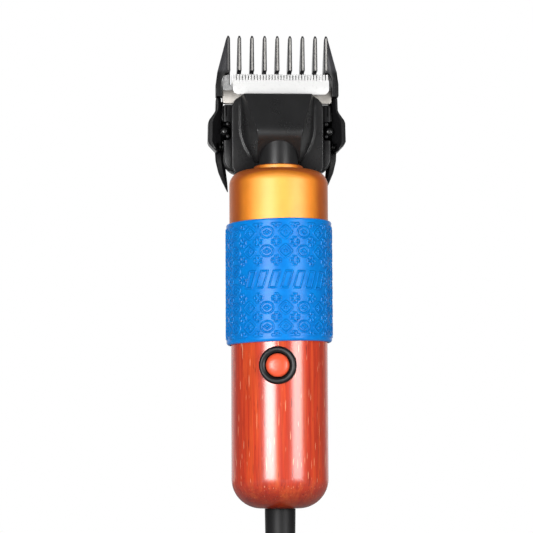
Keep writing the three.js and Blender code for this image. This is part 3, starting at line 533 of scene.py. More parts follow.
def solder_mask():
    """Green circuit board with raised tracks and bare pads."""
    made, tree, shader = start("solder_mask", Roughness=0.35, Coat_Weight=0.5)
    tracks = add(tree, "TexBrick", {
        "Vector": stretched(tree, 1, 1, 1), "Scale": 260.0, "Mortar Size": 0.03,
        "Color1": (0.010, 0.115, 0.040, 1), "Color2": (0.014, 0.145, 0.055, 1),
        "Mortar": (0.03, 0.30, 0.11, 1),
    })
    feed(tree, shader, "Base Color", tracks.outputs["Color"])
    bump(tree, shader, tracks.outputs["Fac"], 0.05, 0.6)
    return made


WOOD = lacquered_wood()
GOLD = anodised_gold()
BLUE = silicone_blue()
BLACK = moulded("black_matte", (0.0155, 0.0155, 0.016), 0.28, texture=0.015, specular=0.46)
COMB_BLACK = comb_with_painted_highlight()
LEVER_BLACK = moulded("black_satin", (0.0065, 0.0065, 0.007), 0.32, specular=0.33)
GLOSS = moulded("black_semi_gloss", (0.009, 0.009, 0.0095), 0.36, texture=0.012, recess=0)
CORAL = moulded("coral_red", (0.72, 0.085, 0.030), 0.30, texture=0.008, spread=0.08, recess=0)
CABLE = moulded("cable_rubber", (0.0095, 0.0095, 0.010), 0.46, texture=0.02, specular=0.22, recess=0.5)
CERAMIC = ceramic_white()
BLADE_STEEL = metal("ground_steel", (0.30, 0.285, 0.265), 0.50, along=(2600, 200, 60))
TOOTH_STEEL = etched_steel()
STEEL = metal("turned_steel", (0.56, 0.56, 0.57), 0.30)
PIN_STEEL = metal("blackened_steel", (0.06, 0.06, 0.06), 0.3)
# Painted shade: the latch return springs are painted near-black, as they sit in shade in their pockets.
SPRING_BLACK = metal("near_black_spring_steel", (0.022, 0.022, 0.022), 0.45)
BRONZE = metal("oiled_bronze", (0.45, 0.25, 0.09), 0.45, along=(900, 900, 900))
COPPER = wound_copper()
BAR_COPPER = metal("bar_copper", (0.75, 0.33, 0.16), 0.25)
LAMINATED = metal("laminated_steel", (0.40, 0.40, 0.42), 0.4, along=(4, 4, 2000), depth=0.05)
FERRITE = moulded("ferrite", (0.055, 0.055, 0.06), 0.6, texture=0.05)
CARBON = moulded("carbon", (0.02, 0.02, 0.02), 0.7, texture=0.04)
BOARD = solder_mask()
BROWN = moulded("wire_brown", (0.15, 0.05, 0.018), 0.4)
WIRE_BLUE = moulded("wire_blue", (0.03, 0.12, 0.38), 0.4)


# ---- handle and switch
def handle_shell():
    """Turned wooden handle with the switch's seat cut into its front."""
    h = HANDLE
    profile = rounded([
        (h["cord"], 0, 0.4), (h["r"], 0, h["fillet"]), (h["r"], h["top"]), (h["bore"], h["top"]),
        (h["bore"], h["floor"]), (h["cord"], h["floor"]),
    ], steps=20)
    front = HANDLE["r"] + 5
    hole = rod(SWITCH["hole"], -front, -8, 64)
    seat = rod(SWITCH["seat"], -front, SWITCH["seat_y"], 64)
    cuts = [on_handle(hole), on_handle(seat)]
    made = piece("wooden_handle", lathe(profile), WOOD, hides=["handle_shell"], cuts=cuts)
    straighten_normals(made, h["r"])
    return made


def straighten_normals(made, radius):
    """Gives the faces on the cylinder's outside their true radial normals, which a boolean cut disturbs."""
    data = made.data
    normals = [tuple(n.vector) for n in data.corner_normals]
    for polygon in data.polygons:
        outward = Vector((polygon.center.x, polygon.center.y, 0))
        if outward.length < (radius - 0.3) * MM or polygon.normal.dot(outward.normalized()) < 0.98:
            continue
        for corner in polygon.loop_indices:
            point = data.vertices[data.loops[corner].vertex_index].co
            if point.z / MM - BUTT > HANDLE["fillet"] + 0.01:
                normals[corner] = tuple(Vector((point.x, point.y, 0)).normalized())
    data.normals_split_custom_set(normals)


def on_handle(shape):
    """A shape made about the Y axis, put at the switch's height and turned with the handle."""
    return moved(moved(shape, z=SWITCH["z"]), turn=HANDLE_TURN)


def switch():
    """Black bezel with a rolled rim, and the domed coral cap inside it."""
    bezel = rounded([
        (5.0, -11), (5.0, -20.3, 0.35), (5.9, -20.7, 0.5), (6.8, -20.75, 0.55), (7.45, -20.1, 0.6),
        (7.45, -18.15, 0.2), (5.95, -18.15), (5.95, -9.6), (1.8, -9.6), (1.8, -11),
    ])
    rim = on_handle(lathe(bezel, 96, "Y"))
    piece("switch_rim", rim, LEVER_BLACK, hides=["switch_bezel"], crease=50)
    dome = rounded([
        (0, -22.0), (2.4, -21.85, 6), (4.05, -21.35, 1.6), (4.65, -20.4, 0.5), (4.65, -17.5), (1.5, -17.5),
        (1.5, -12), (0, -12),
    ], closed=False)
    cap = on_handle(lathe(dome, 96, "Y"))
    piece("switch_cap", cap, CORAL, "button", ["button_cap"], crease=50)


# ---- cable
def cable():
    """Moulded strain relief with flex slots, and the cable's round jacket."""
    slots = []
    for z in (-36, -31, -26, -21):
        r = 5.55 + (z + 12) * 0.05
        slots += [
            (r, z - 1.1, 0.2), (r - 0.9, z - 0.9, 0.25), (r - 0.9, z + 0.9, 0.25), (r + 0.1, z + 1.1, 0.2),
        ]
    profile = rounded([
        (3.35, -42), (4.0, -42, 0.3), *slots, (6.0, -14, 6), (6.2, -0.1, 0.1), (5.1, -0.1), (5.1, 9.8),
        (8, 9.8), (8, 12.2), (3.35, 12.2),
    ], steps=4)
    piece("strain_relief_boot", lathe(profile, 96), CABLE, hides=["strain_relief"])
    jacket = rounded([(0, -62), (3.2, -62, 0.12), (3.2, 22, 0.2), (0, 22)], steps=3, closed=False)
    piece("cable_jacket", lathe(jacket, 64), CABLE, hides=["power_cable"])


# ---- grip sleeve
LINE = 0.31  # half the width of an embossed line at its foot
RELIEF = 0.37  # how far a line stands proud
COLUMN = math.radians(20)
FIRST_COLUMN = math.radians(3.6)
ROW = 7.5
BAND = 22.3  # the pattern stops this far above and below the sleeve's middle
PLAIN = {"middle": math.radians(5), "half": 0.82}  # where a row of bars replaces two rows of motifs


def plus_distance(u, v, reach, width):
    """Distance from the edge of a plus sign: `reach` is its arms' length and `width` half their width."""
    a, b = np.maximum(np.abs(u), np.abs(v)), np.minimum(np.abs(u), np.abs(v))
    return box_distance(a - reach, b - width)


def box_distance(beyond_u, beyond_v):
    """Distance from a rectangle's edge, given how far a point lies beyond each pair of its sides."""
    deepest = np.maximum(beyond_u, beyond_v)
    outside = np.hypot(np.maximum(beyond_u, 0), np.maximum(beyond_v, 0))
    return np.abs(np.where(deepest > 0, outside, deepest))


def line(distance):
    """Rounded ridge over an edge."""
    return np.clip(1 - (distance / LINE) ** 2, 0, 1) ** 1.5


def in_front(angle):
    return np.abs(angle - PLAIN["middle"]) < PLAIN["half"]


def motifs(angle, height):
    """Columns of rings and diamonds in turn, each round a small figure."""
    column = np.round((angle - FIRST_COLUMN) / COLUMN)
    row = np.floor(height / ROW) + 0.5
    u = (angle - FIRST_COLUMN - column * COLUMN) * SLEEVE["r"]
    v = height - row * ROW
    ring = np.abs(np.hypot(u / 2.5, v / 2.2) - 1) * 2.35
    eye = np.abs(np.abs(u) / 1.25 + np.abs(v) / 0.85 - 1) * 0.7
    diamond = np.abs((np.abs(u / 2.65) ** 1.2 + np.abs(v / 2.5) ** 1.2) ** 0.83 - 1) * 1.8
    upright = np.hypot(u, np.maximum(np.abs(v) - 0.8, 0))
    level = np.hypot(v, np.maximum(np.abs(u) - 0.8, 0))
    cross = np.minimum(upright, level)
    drawn = line(np.where(column % 2 == 0, np.minimum(diamond, cross), np.minimum(ring, eye)))
    hidden = in_front(FIRST_COLUMN + column * COLUMN) & (np.abs(row) < 1)
    return np.where(hidden | (np.abs(height) > BAND), 0, drawn)


def plus_signs(angle, height):
    """Outlined plus signs between the motifs, cut in half by a line along each border."""
    column = np.floor((angle - FIRST_COLUMN) / COLUMN) + 0.5
    row = np.round(height / ROW)
    u = (angle - FIRST_COLUMN - column * COLUMN) * SLEEVE["r"]
    v = height - row * ROW
    drawn = line(plus_distance(u, v, 1.75, 0.62))
    hidden = in_front(FIRST_COLUMN + column * COLUMN) & (row == 0)
    closing = np.where(np.abs(u) < 1.75, line(np.abs(height) - BAND), 0)
    return np.maximum(np.where(hidden | (np.abs(height) > BAND), 0, drawn), closing)


def slanted_bars(angle, height):
    """Outlined bars that lean to the right, in one row across the front."""
    pitch = 2 * PLAIN["half"] * SLEEVE["r"] / 7
    u = (angle - PLAIN["middle"]) * SLEEVE["r"] - height * 0.3
    u = u - np.round(u / pitch) * pitch
    drawn = line(box_distance(np.abs(u) - 1.35, np.abs(height) - 3.3))
    return np.where(in_front(angle - height * 0.3 / SLEEVE["r"]), drawn, 0)


def sleeve_relief(angle, height):
    """Embossing on the sleeve, from 0 on the plain wall to 1 on a line's top."""
    pattern = np.maximum(motifs(angle, height), plus_signs(angle, height))
    return np.maximum(pattern, slanted_bars(angle, height))


def grip_sleeve():
    """Silicone sleeve: one closed grid whose outside carries the embossing."""
    s = SLEEVE
    across = 792
    middle_z = (s["z0"] + s["z1"]) / 2
    lip = s["lip"]
    low_lip = arc(s["r"] - lip, s["z0"] + lip, lip, -90, 0, 7)
    high_lip = arc(s["r"] - lip * 0.6, s["z1"] - lip * 0.6, lip * 0.6, 0, 90, 6)
    wall = np.linspace(s["z0"] + lip, s["z1"] - lip * 0.6, 236)[1:-1]
    outside = [*low_lip, *[(s["r"], z) for z in wall], *high_lip]
    profile = [(s["inner"], s["z0"]), *outside, (s["inner"], s["z1"])]
    angle = -math.pi / 2 + np.linspace(0, 2 * math.pi, across, endpoint=False)
    from_front = np.angle(np.exp(1j * (angle + math.pi / 2)))
    verts, faces = [], []
    for radius, z in profile:
        proud = RELIEF * sleeve_relief(from_front, np.full(across, z - middle_z))
        proud = proud if radius > s["r"] - 1e-6 else proud * 0
        r = radius + proud
        askew = s["skew"] * np.cos(angle) * abs((z - middle_z) * 2 / (s["z1"] - s["z0"])) ** 3
        verts.append(np.stack([r * np.cos(angle), r * np.sin(angle), z + askew], axis=1))
    verts = np.concatenate(verts)
    step = np.arange(across)
    following = (step + 1) % across
    for i in range(len(profile)):
        a, b = i * across, ((i + 1) % len(profile)) * across
        faces.append(np.stack([a + step, a + following, b + following, b + step], axis=1))
    shape = (verts, np.concatenate(faces).tolist())
    piece("silicone_sleeve", shape, BLUE, hides=["grip_sleeve"], crease=60)


# ---- barrel and neck
def barrel_profile(clear=0.0):
    """[radius, height] points over the barrel's shoulder and collar, for the pieces cut to clear them."""
    b = BARREL
    shoulder = arc(b["r"] - b["fillet"], b["top"] - b["fillet"], b["fillet"] + clear, 0, 90, 24)
    return [(b["r"] + clear, b["z0"]), *shoulder]


def barrel_room():
    """A solid a little larger than the barrel, collar and neck, to cut the head's pieces with."""
    clear = 0.45
    top = BARREL["top"] + clear
    return lathe([
        (0, BARREL["z0"] + 20), (BARREL["r"] + clear, BARREL["z0"] + 20), *barrel_profile(clear)[1:],
        (COLLAR["r"] + clear, top), (COLLAR["r"] + clear, top + 2.4), (NECK["r"] + 0.12, top + 2.4),
        (NECK["r"] + 0.12, NECK["top"] + 0.5), (0, NECK["top"] + 0.5),
    ], 120)


def barrel():
    b = BARREL
    profile = [
        (b["bore"], b["z0"]), *barrel_profile(), (10.5, b["top"]), (10.35, b["top"] - 0.12),
        (8.0, b["top"] - 0.12), (8.0, b["top"] - 3), (b["bore"], b["top"] - 3),
    ]
    piece("gold_barrel", lathe(profile, 200), GOLD, hides=["motor_barrel"])
    foot = b["top"] + 0.1
    collar = rounded([
        (8.05, foot), (COLLAR["r"], foot, 0.15), (COLLAR["r"], foot + COLLAR["height"] - 0.35, 0.4),
        (COLLAR["top"], foot + COLLAR["height"], 0.3), (8.05, foot + COLLAR["height"], 0.1),
    ], steps=5)
    piece("gold_collar", lathe(collar, 128), GOLD, hides=["collar_ring"])


def neck():
    n = NECK
    profile = rounded([
        (n["bore"], 131.4), (11, 131.4), (11, n["z0"]), (n["r"], n["z0"]), (n["r"], n["top"], 0.4),
        (n["bore"], n["top"], 0.2),
    ], steps=4)
    piece("neck_sleeve", lathe(profile, 128), GLOSS, hides=["neck_tube"])


# ---- head cover
CREST = {"z": 151.7, "half": 9.1, "height": 15.7, "rounding": 5.6}  # the hump's highest edge, above the neck
CHIN = {"z": 148.0, "height": 12.4, "slope": 1.2}  # where the neck's front meets the hump's underside
HUMP_TOP = {"half": 14.0, "height": 4.6}
RIM = {"half": 15.35, "bend": 156.0, "foot_half": 9.3, "foot": 140.6}


def soft_min(a, b, k):
    """The smaller of two heights, rounded where they lie within k of each other."""
    h = np.clip(0.5 + 0.5 * (b - a) / k, 0, 1)
    return b * (1 - h) + a * h - k * h * (1 - h)


def soft_max(a, b, k):
    return -soft_min(-a, -b, k)


def rim_half(z):
    """Half the width of the hump's foot: straight beside the ramp, then curving in to the neck."""
    t = np.clip((RIM["bend"] - z) / (RIM["bend"] - RIM["foot"]), 0, 1)
    return RIM["half"] - (RIM["half"] - RIM["foot_half"]) * t**2.0


def hump_height(x, z):
    """How far the cover stands in front of its flange."""
    run = (z - CREST["z"]) / (COVER["z1"] - CREST["z"])
    slope = CREST["height"] + (HUMP_TOP["height"] - CREST["height"]) * run
    plateau_half = CREST["half"] + (HUMP_TOP["half"] - CREST["half"]) * np.clip(run, 0, 1)
    chin = CHIN["height"] - CHIN["slope"] * (CHIN["z"] - z)
    wing = CREST["height"] * np.clip((z - RIM["foot"]) / (CREST["z"] - RIM["foot"]), 0, 1) ** 0.75
    rim = rim_half(z)
    across = np.clip((rim - np.abs(x)) / np.maximum(rim - plateau_half, 0.3), 0, 3)
    peak = np.where(z > CREST["z"], slope, wing)
    side = peak * across**1.35 - 0.6 * np.sin(np.pi * np.clip(across * 1.7, 0, 1))
    beside_neck = np.clip((np.abs(x) - 8.35) / 0.5, 0, 1)
    lower = soft_max(chin, wing * beside_neck, 0.5)
    top = np.where(z > CREST["z"] + 6, slope, soft_min(slope, lower, CREST["rounding"]))
    ends = np.clip((z - RIM["foot"]) / 5, 0, 1) * np.clip((COVER["z1"] - 1.5 - z) / 3, 0, 1)
    bead = 0.10 * np.exp(-(((np.abs(x) - rim) / 0.45) ** 2)) * ends
    return np.where(np.abs(x) < rim, soft_min(top, side, 1.3), 0) + bead


def cover_outline_half(z):
    """Half the flange's width at each height, with its rounded corners."""
    low, high = COVER["low"], COVER["high"]
    from_low = np.clip(COVER["z0"] + low - z, 0, low)
    from_high = np.clip(z - (COVER["z1"] - high), 0, high)
    inset = low - np.sqrt(low**2 - from_low**2) + high - np.sqrt(high**2 - from_high**2)
    return COVER["half"] - inset


def head_cover():
    """Moulded cover: a thin shell whose front is a height field over the flange's outline."""
    rows, columns = 210, 221
    ease = (1 - np.cos(np.linspace(0, np.pi, rows))) / 2
    z = COVER["z0"] + (COVER["z1"] - COVER["z0"]) * (0.75 * np.linspace(0, 1, rows) + 0.25 * ease)
    z_grid = np.repeat(z[:, None], columns, axis=1)
    half = cover_outline_half(z)
    x_grid = np.linspace(-1, 1, columns)[None, :] * half[:, None]
    height = hump_height(x_grid, z_grid)
    to_end = np.minimum(z_grid - COVER["z0"], COVER["z1"] - z_grid)
    edge = np.minimum(half[:, None] - np.abs(x_grid), to_end)
    roll = 0.5 * np.clip(1 - edge / 0.5, 0, 1) ** 2
    front = COVER["y"] - height + roll
    back = np.minimum(COVER["y"] + COVER["thick"], front + COVER["thick"])
    sheets = [np.stack([x_grid, y, z_grid], axis=2).reshape(-1, 3) for y in (front, back)]
    shape = closed_sheets(sheets, rows, columns)
    cuts = [barrel_room()]
    piece("moulded_cover", shape, BLACK, hides=["head_cover"], cuts=cuts, crease=40)


def closed_sheets(sheets, rows, columns):
    """Two grids of the same size joined round their edge into one closed shell."""
    verts = np.concatenate(sheets)
    size = rows * columns
    index = np.arange(size).reshape(rows, columns)
    corners = [index[:-1, :-1], index[:-1, 1:], index[1:, 1:], index[1:, :-1]]
    quads = np.stack(corners, axis=2).reshape(-1, 4)
    faces = quads.tolist() + (quads[:, ::-1] + size).tolist()
    border = [*index[0, :], *index[1:, -1], *index[-1, -2::-1], *index[-2:0:-1, 0]]
    for k, here in enumerate(border):
        there = border[(k + 1) % len(border)]
        faces.append([int(here), int(there), int(there) + size, int(here) + size])
    return verts, faces


# ---- head base and screws
def head_base():
    """Back housing: rounded plate with side rails, lever notches, screw seats and a recessed panel."""
    b = BASE
    outline = rounded([
        (-b["half"], b["z0"], 6.5), (b["half"], b["z0"], 6.5), (b["half"], b["z1"], 0.9),
        (-b["half"], b["z1"], 0.9),
    ], steps=10)
    body = slab(outline, b["y0"], b["y1"], bevel=0.55, segments=3)
    panel = slab(rect(-12.5, 12.5, 143, 160, 2), b["y1"] - 0.5, b["y1"] + 1, bevel=0)
    cuts = [barrel_room(), *base_front_cuts(), *screw_seats(), panel]
    piece("head_back", body, LEVER_BLACK, hides=["head_base"], cuts=cuts)
    details = raw_object("head_back_details", joined(*base_ears(), *base_ribs(), *rail_beads(), *base_lips()))
    finish(details, LEVER_BLACK)


def base_front_cuts():
    """The blade's seat, and on each side a lever notch, a hinge bore and a short groove."""
    front = BASE["y0"]
    cuts = [slab(rect(-14.3, 14.3, 150.3, 172), 5, BLADE["y1"] + 0.15, bevel=0)]
    for side in (-1, 1):
        notch = rounded([
            (side * 18.9, 150.4, 1.4), (side * 30, 150.4), (side * 30, 158.2), (side * 18.9, 158.2, 1.4),
        ])
        cuts.append(slab(notch if side > 0 else notch[::-1], 5, 12.6, bevel=0))
        cuts.append(at_hinge(rod(1.15, 5, 14.6), side))
        cuts.append(slab(rect(side * 20.6, side * 21.0, 160.4, 164.6), front - 1, front + 0.5, bevel=0))
    return cuts


def screw_seats():
    seat = lathe([(0, 13.6), (2.25, 13.6), (2.6, 18), (0, 18)], 40, "Y")
    return [moved(seat, x=x, z=z) for x, z in COVER_SCREWS]


def base_ears():
    """Rings round the hinge bores, behind the lever notches."""
    back = BASE["y1"] - 0.02
    ear = lathe([(1.2, 12.6), (3.2, 12.6), (3.2, back), (1.2, back)], 48, "Y")
    return [at_hinge(ear, side) for side in (-1, 1)]


def base_ribs():
    """Four level ribs on the back panel."""
    back = BASE["y1"]
    return [
        slab(rect(-9, 9, z, z + 1.6, 0.5, steps=3), back - 0.6, back - 0.02, bevel=0.2)
        for z in (146, 149.4, 152.8, 156.2)
    ]


def base_lips():
    """Small blocks that stand out above the lever notches."""
    lip = slab(rect(20, 22.7, 158.7, 165.2), 9.5, 15.4, bevel=0.3)
    return [mirror_x(lip, side) for side in (-1, 1)]


def rail_beads():
    """Small rounded ends where each side rail meets its lever notch."""
    profile = rounded([(0, 6.4), (0.75, 6.5, 0.4), (0.95, 7.6), (0, 7.6)], steps=5, closed=False)
    bead = lathe(profile, 32, "Y")
    beads = []
    for side in (-1, 1):
        for z in (152.1, 157.2):
            beads.append(moved(bead, x=side * 20.3, z=z))
    return beads


def screw_shape(head_r, head_y, under_y, shank_r, tip_y):
    """A countersunk machine screw along Y with a star socket, its head at head_y."""
    socket = 0.9
    step = -1 if head_y > under_y else 1
    profile = rounded([
        (0, head_y + step * 1.0), (socket, head_y + step * 0.9), (socket + 0.1, head_y, 0.1),
        (head_r, head_y, 0.25), (head_r, under_y, 0.1), (shank_r, under_y, 0.1), (shank_r, tip_y, 0.3),
        (0, tip_y),
    ], steps=3, closed=False)
    verts, faces = lathe(profile, SMALL_TURNED, "Y")
    made = []
    for x, y, z in verts:
        radius = math.hypot(x, z)
        inside = radius < socket + 0.15 and abs(y - head_y) < 1.1
        wave = 1 + (0.16 * math.cos(6 * math.atan2(z, x)) if inside else 0)
        made.append((x * wave, y, z * wave))
    return made, faces


def screws():
    for number, (x, z) in enumerate(COVER_SCREWS, start=1):
        shape = moved(screw_shape(2.0, 15.2, 13.8, 1.05, 5.6), x=x, z=z)
        piece(f"back_screw_{number}", shape, STEEL, hides=[f"cover_screw_{number}"])
    for side, x in (("left", -10.5), ("right", 10.5)):
        shape = moved(screw_shape(2.2, 4.2, 6.0, 1.35, 13), x=x, z=154.5)
        piece(f"clamp_screw_{side}", shape, STEEL, hides=[f"blade_screw_{side}"])


# ---- blades
def tooth_edge(x0, x1, count, root, tip):
    """Cutting teeth from x0 to x1 as (x, z) points."""
    pitch = (x1 - x0) / count
    flat = 0.62  # a tooth's tip takes up this much of the pitch
    foot, crown = (1 - flat) / 2 * 0.5, (1 - flat) / 2
    points = []
    for k in range(count):
        x = x0 + k * pitch
        points += [
            (x + foot * pitch, root), (x + crown * pitch, tip), (x + (1 - crown) * pitch, tip),
            (x + (1 - foot) * pitch, root),
        ]
    return points


def blade_plate():
    """Outline of the blade's thin upper plate: a row of teeth between two rounded lobes."""
    b = BLADE
    half, ends, top = b["half"], b["toothed"], b["tip"] - 0.3
    slot = ends + 0.7
    round_x, round_z = 2.0, 2.7
    crown = [math.radians(90 - 9 * k) for k in range(11)]
    shoulder = [(half - round_x * (1 - math.cos(t)), top - round_z * (1 - math.sin(t))) for t in crown]
    lobe = [(slot, top), *shoulder, (half, b["step"] + 0.45)]
    teeth = tooth_edge(-ends, ends, b["teeth"], b["root"], b["tip"])
    return [*mirrored(lobe), (-slot, b["root"]), *teeth, (slot, b["root"]), *lobe]


def lower_blade():
    """Steel comb blade: ground bar, thinner etched tooth plate above it, and the tail behind the cutter."""
    b = BLADE
    half = b["half"]
    bar = rounded([
        (-half, b["z0"], 1.2), (half, b["z0"], 1.2), (half, b["step"]), (-half, b["step"]),
    ], steps=5)
    tail = [
        (-14, 150.6), (-3.3, 150.6), (-3.3, 163.2), (3.3, 163.2), (3.3, 150.6), (14, 150.6), (14, 166.6),
        (-14, 166.6),
    ]
    groove = rect(-half + 0.1, half - 0.1, b["step"] - 0.3, b["step"] + 1)
    shape = joined(
        slab(bar, b["y0"], b["y1"], bevel=0.15), slab(tail, b["y0"], b["y1"], bevel=0.15),
        slab(groove, b["y0"] + 1.1, b["y1"] - 0.2, bevel=0),
    )
    piece("blade_bar", shape, BLADE_STEEL, hides=["bottom_blade"])
    plate = slab(blade_plate(), b["y0"] + 0.4, b["y1"] - 0.1, bevel=0.08, segments=1)
    piece("blade_teeth", plate, TOOTH_STEEL)


def cutter():
    """White ceramic cutter, at rest at the +X end of its stroke."""
    c = CUTTER
    shift = middle("cutter")[0]
    half = c["half"]
    heel = rounded(
        [(half, c["root"]), (half, c["z0"], 2.4), (-half, c["z0"], 2.4), (-half, c["root"])], closed=False
    )
    outline = [*heel, *tooth_edge(-half + 0.25, half - 0.25, c["teeth"], c["root"], c["tip"])]
    plate = slab(outline, c["y0"], c["y1"], bevel=0.14)
    tongue = slab(rect(-11, 11, 162.8, c["z0"] + 1), c["y0"] + 0.1, c["y1"] - 0.1, bevel=0.2)
    slot = slab(rect(-1.35, 1.35, 165.6, 169), 2, 8, bevel=0)
    shape = moved(joined(plate, tongue), x=shift)
    piece("ceramic_cutter", shape, CERAMIC, "cutter", ["cutter"], cuts=[moved(slot, x=shift)])


# ---- latches
def along(edge, z):
    """An edge's position at height z, from its (height, position) points given from the top down."""
    return float(np.interp(z, *zip(*reversed(edge))))


def lever_body():
    """The +X latch lever's front part: a raised rim outside, and a face that falls away towards the head."""
    outer = [
        (168.25, 25.15), (163.2, 25.3), (162.0, 25.9), (159.2, 27.9), (158.0, 28.35), (150.3, 28.5),
        (149.2, 28.0), (146.5, 25.5), (146.2, 25.2),
    ]
    inner = [(168.25, 22.95), (150.4, 22.9), (146.2, 24.0)]
    rim = [(168.25, 1.2), (162.0, 1.3), (158.5, 2.1), (150.0, 2.1), (146.2, 0.5)]
    fall = [(168.25, 1.6), (162.0, 1.8), (158.0, 3.0), (150.0, 3.0), (146.2, 1.5)]
    front, back = 7.7, 16.0
    low, high = inner[-1][0], inner[0][0]
    bevel = 0.25
    heights = {z for z, _ in outer + inner} | set(np.linspace(low, high, 40)) | {low + bevel, high - bevel}
    sections = []
    for z in sorted(heights):
        inset = max(0.0, bevel - min(z - low, high - z))
        xo, xi = along(outer, z) - inset, along(inner, z) + inset
        edge = xo - along(rim, z)
        y = front + inset
        sections.append([
            (xi + 0.3, back, z), (xi, back - 0.3, z), (xi, y + along(fall, z), z), (edge, y + 0.3, z),
            (edge + 0.3, y, z), (xo - 0.5, y + 0.05, z), (xo - 0.1, y + 0.5, z), (xo, y + 1.2, z),
            (xo, back - 0.5, z), (xo - 0.5, back, z),
        ])
    return loft(sections)


def lever_details():
    """The +X lever's hinge boss and its web, the flange behind, and the nose that grips the comb."""
    x, z = PIVOT["x"], PIVOT["z"]
    knob = rounded([(1.2, 7.9), (1.4, 7.8, 0.15), (1.65, 8.3, 0.3), (1.75, 12.4), (1.2, 12.4)], steps=5)
    web = slab(rect(x + 1.4, 23.4, z - 1.8, z + 1.8), 10.9, 12.3, bevel=0.3)
    flange = slab(rect(21.85, 24.8, 151, 167.9), 15.82, 16.8, bevel=0.3)
    nose = rounded([(23.0, 166.9, 0.3), (25.0, 166.9, 0.3), (24.7, 173, 0.5), (23.3, 173, 0.5)], steps=3)
    return [at_hinge(lathe(knob, 48, "Y")), web, flange, slab(nose, 11.15, 14.35, bevel=0.35)]


def lever_tail():
    """Claw-shaped finger tail: two faces that meet on a ridge and run out to a point."""
    outer = [
        (152.5, 28.1), (149.6, 27.6), (146.8, 25.3), (143.3, 25.1), (138.4, 23.95), (134.2, 22.2),
        (130.2, 20.35),
    ]
    inner = [
        (152.5, 22.4), (149.6, 21.8), (146.8, 21.5), (143.3, 21.2), (138.4, 20.7), (134.2, 20.2),
        (130.2, 19.95),
    ]
    y = 15.75
    sections = []
    for z in np.linspace(130.2, 152.5, 34):
        xo, xi = along(outer, z), along(inner, z)
        width = xo - xi
        ridge = xi + 0.42 * width
        depth = min(3.3, 0.5 + 1.25 * width)
        sections.append([
            (xi, y + 0.42 * depth, z), (ridge, y, z), (xo - 0.15 * width, y + 0.22 * depth, z),
            (xo, y + 0.5 * depth, z), (xo - 0.15 * width, y + 0.85 * depth, z), (ridge, y + depth, z),
            (xi, y + 0.8 * depth, z),
        ])
    return loft(sections)


def mirror_x(shape, side):
    """The same shape for side 1, and its mirror image in X for side -1."""
    verts, faces = shape
    return ([(side * x, y, z) for x, y, z in verts], [f[::-1] for f in faces] if side < 0 else faces)


def at_hinge(shape, side=1):
    """Moves a shape from the origin to a latch's hinge line."""
    return moved(shape, x=side * PIVOT["x"], z=PIVOT["z"])


def lever_cuts():
    """Room for the housing's ring round the hinge, and the return spring's pocket."""
    ear_room = rod(3.6, 12.5, 15.7, 40)
    pocket = moved(rod(1.75, 20, 25, axis="Z"), turn=math.pi / 2, axis="Y")
    return [at_hinge(ear_room), moved(pocket, y=LATCH_SPRING["y"], z=LATCH_SPRING["z"])]


def latches():
    for side, name in ((-1, "left"), (1, "right")):
        body = f"latch_{name}"
        front = mirror_x(lever_body(), side)
        cuts = [mirror_x(tool, side) for tool in lever_cuts()]
        piece(f"lever_{name}", front, LEVER_BLACK, body, [f"latch_lever_{name}"], cuts)
        fittings = mirror_x(joined(*lever_details(), lever_tail()), side)
        piece(f"lever_fittings_{name}", fittings, LEVER_BLACK, body)
        profile = rounded([
            (0, 7.0), (1.0, 7.1, 0.3), (1.1, 7.5, 0.1), (1.1, 14.4, 0.2), (0, 14.4),
        ], steps=3, closed=False)
        pin = at_hinge(lathe(profile, 40, "Y"), side)
        piece(f"hinge_pin_{name}", pin, PIN_STEEL, hides=[f"latch_pin_{name}"])


# ---- guide comb
def comb_tooth(x):
    """One tooth: a narrow front ridge on a wider blade, deeper towards its root and clear of the steel."""
    c = COMB
    front = [
        (c["tip"], 5.9), (c["tip"] - 0.4, 5.2), (c["tip"] - 1.2, 4.7), (c["step"] + 0.05, 4.7),
        (c["step"] - 0.05, 9.75), (c["root"], 9.75),
    ]
    back = [
        (c["tip"], 6.3), (c["tip"] - 0.4, 6.9), (190.6, 9.2), (184, 13.0), (179.5, 14.6), (172, 14.6),
        (c["root"], 12.2),
    ]
    heights = sorted({z for z, _ in front + back} | set(np.linspace(c["step"] + 0.05, c["tip"], 12)))
    sections = []
    for z in heights:
        y0, y1 = along(front, z), along(back, z)
        wide = float(np.interp(z, [c["step"], c["tip"] - 1, c["tip"]], [0.86, 0.74, 0.32]))
        ridge, depth = 0.38 * wide, min(0.75, 0.4 * (y1 - y0))
        half = [(ridge, y0 + 0.05), (wide, y0 + depth), (wide, y1 - 0.1), (wide - 0.1, y1)]
        left_foot, *left_side = [(-dx, y) for dx, y in half]
        section = [left_foot, *half, *reversed(left_side)]
        sections.append([(x + dx, y, z) for dx, y in section])
    return loft(sections)


def comb_wing(side):
    """Outer tooth: a ridge like the others on its inner edge, and a web that widens down to the side rail."""
    c = COMB
    outside = [(24.55, 178.9, 6), (c["half"], 173.6, 4), (c["half"], c["z0"], 0.3)]
    web = rounded([
        (c["outer"], c["tip"] - 1.0, 0.2), (20.9, c["tip"] - 1.0, 0.3), *outside, (22.72, c["z0"], 0.3),
        (22.72, 175.2), (22.35, 176.7), (21.6, 177.9), (20.6, 178.3), (19.6, 178.3),
    ], steps=5)
    rail = rounded([(24.3, 180.2, 0.4), *outside, (23.5, c["z0"], 0.3), (23.5, 175.5, 3)], steps=5)
    parts = [slab(web, 5.25, 10.7, bevel=0.3), slab(rail, 5.0, 7.5, bevel=0.5, segments=3)]
    return [mirror_x(part, side) for part in parts]


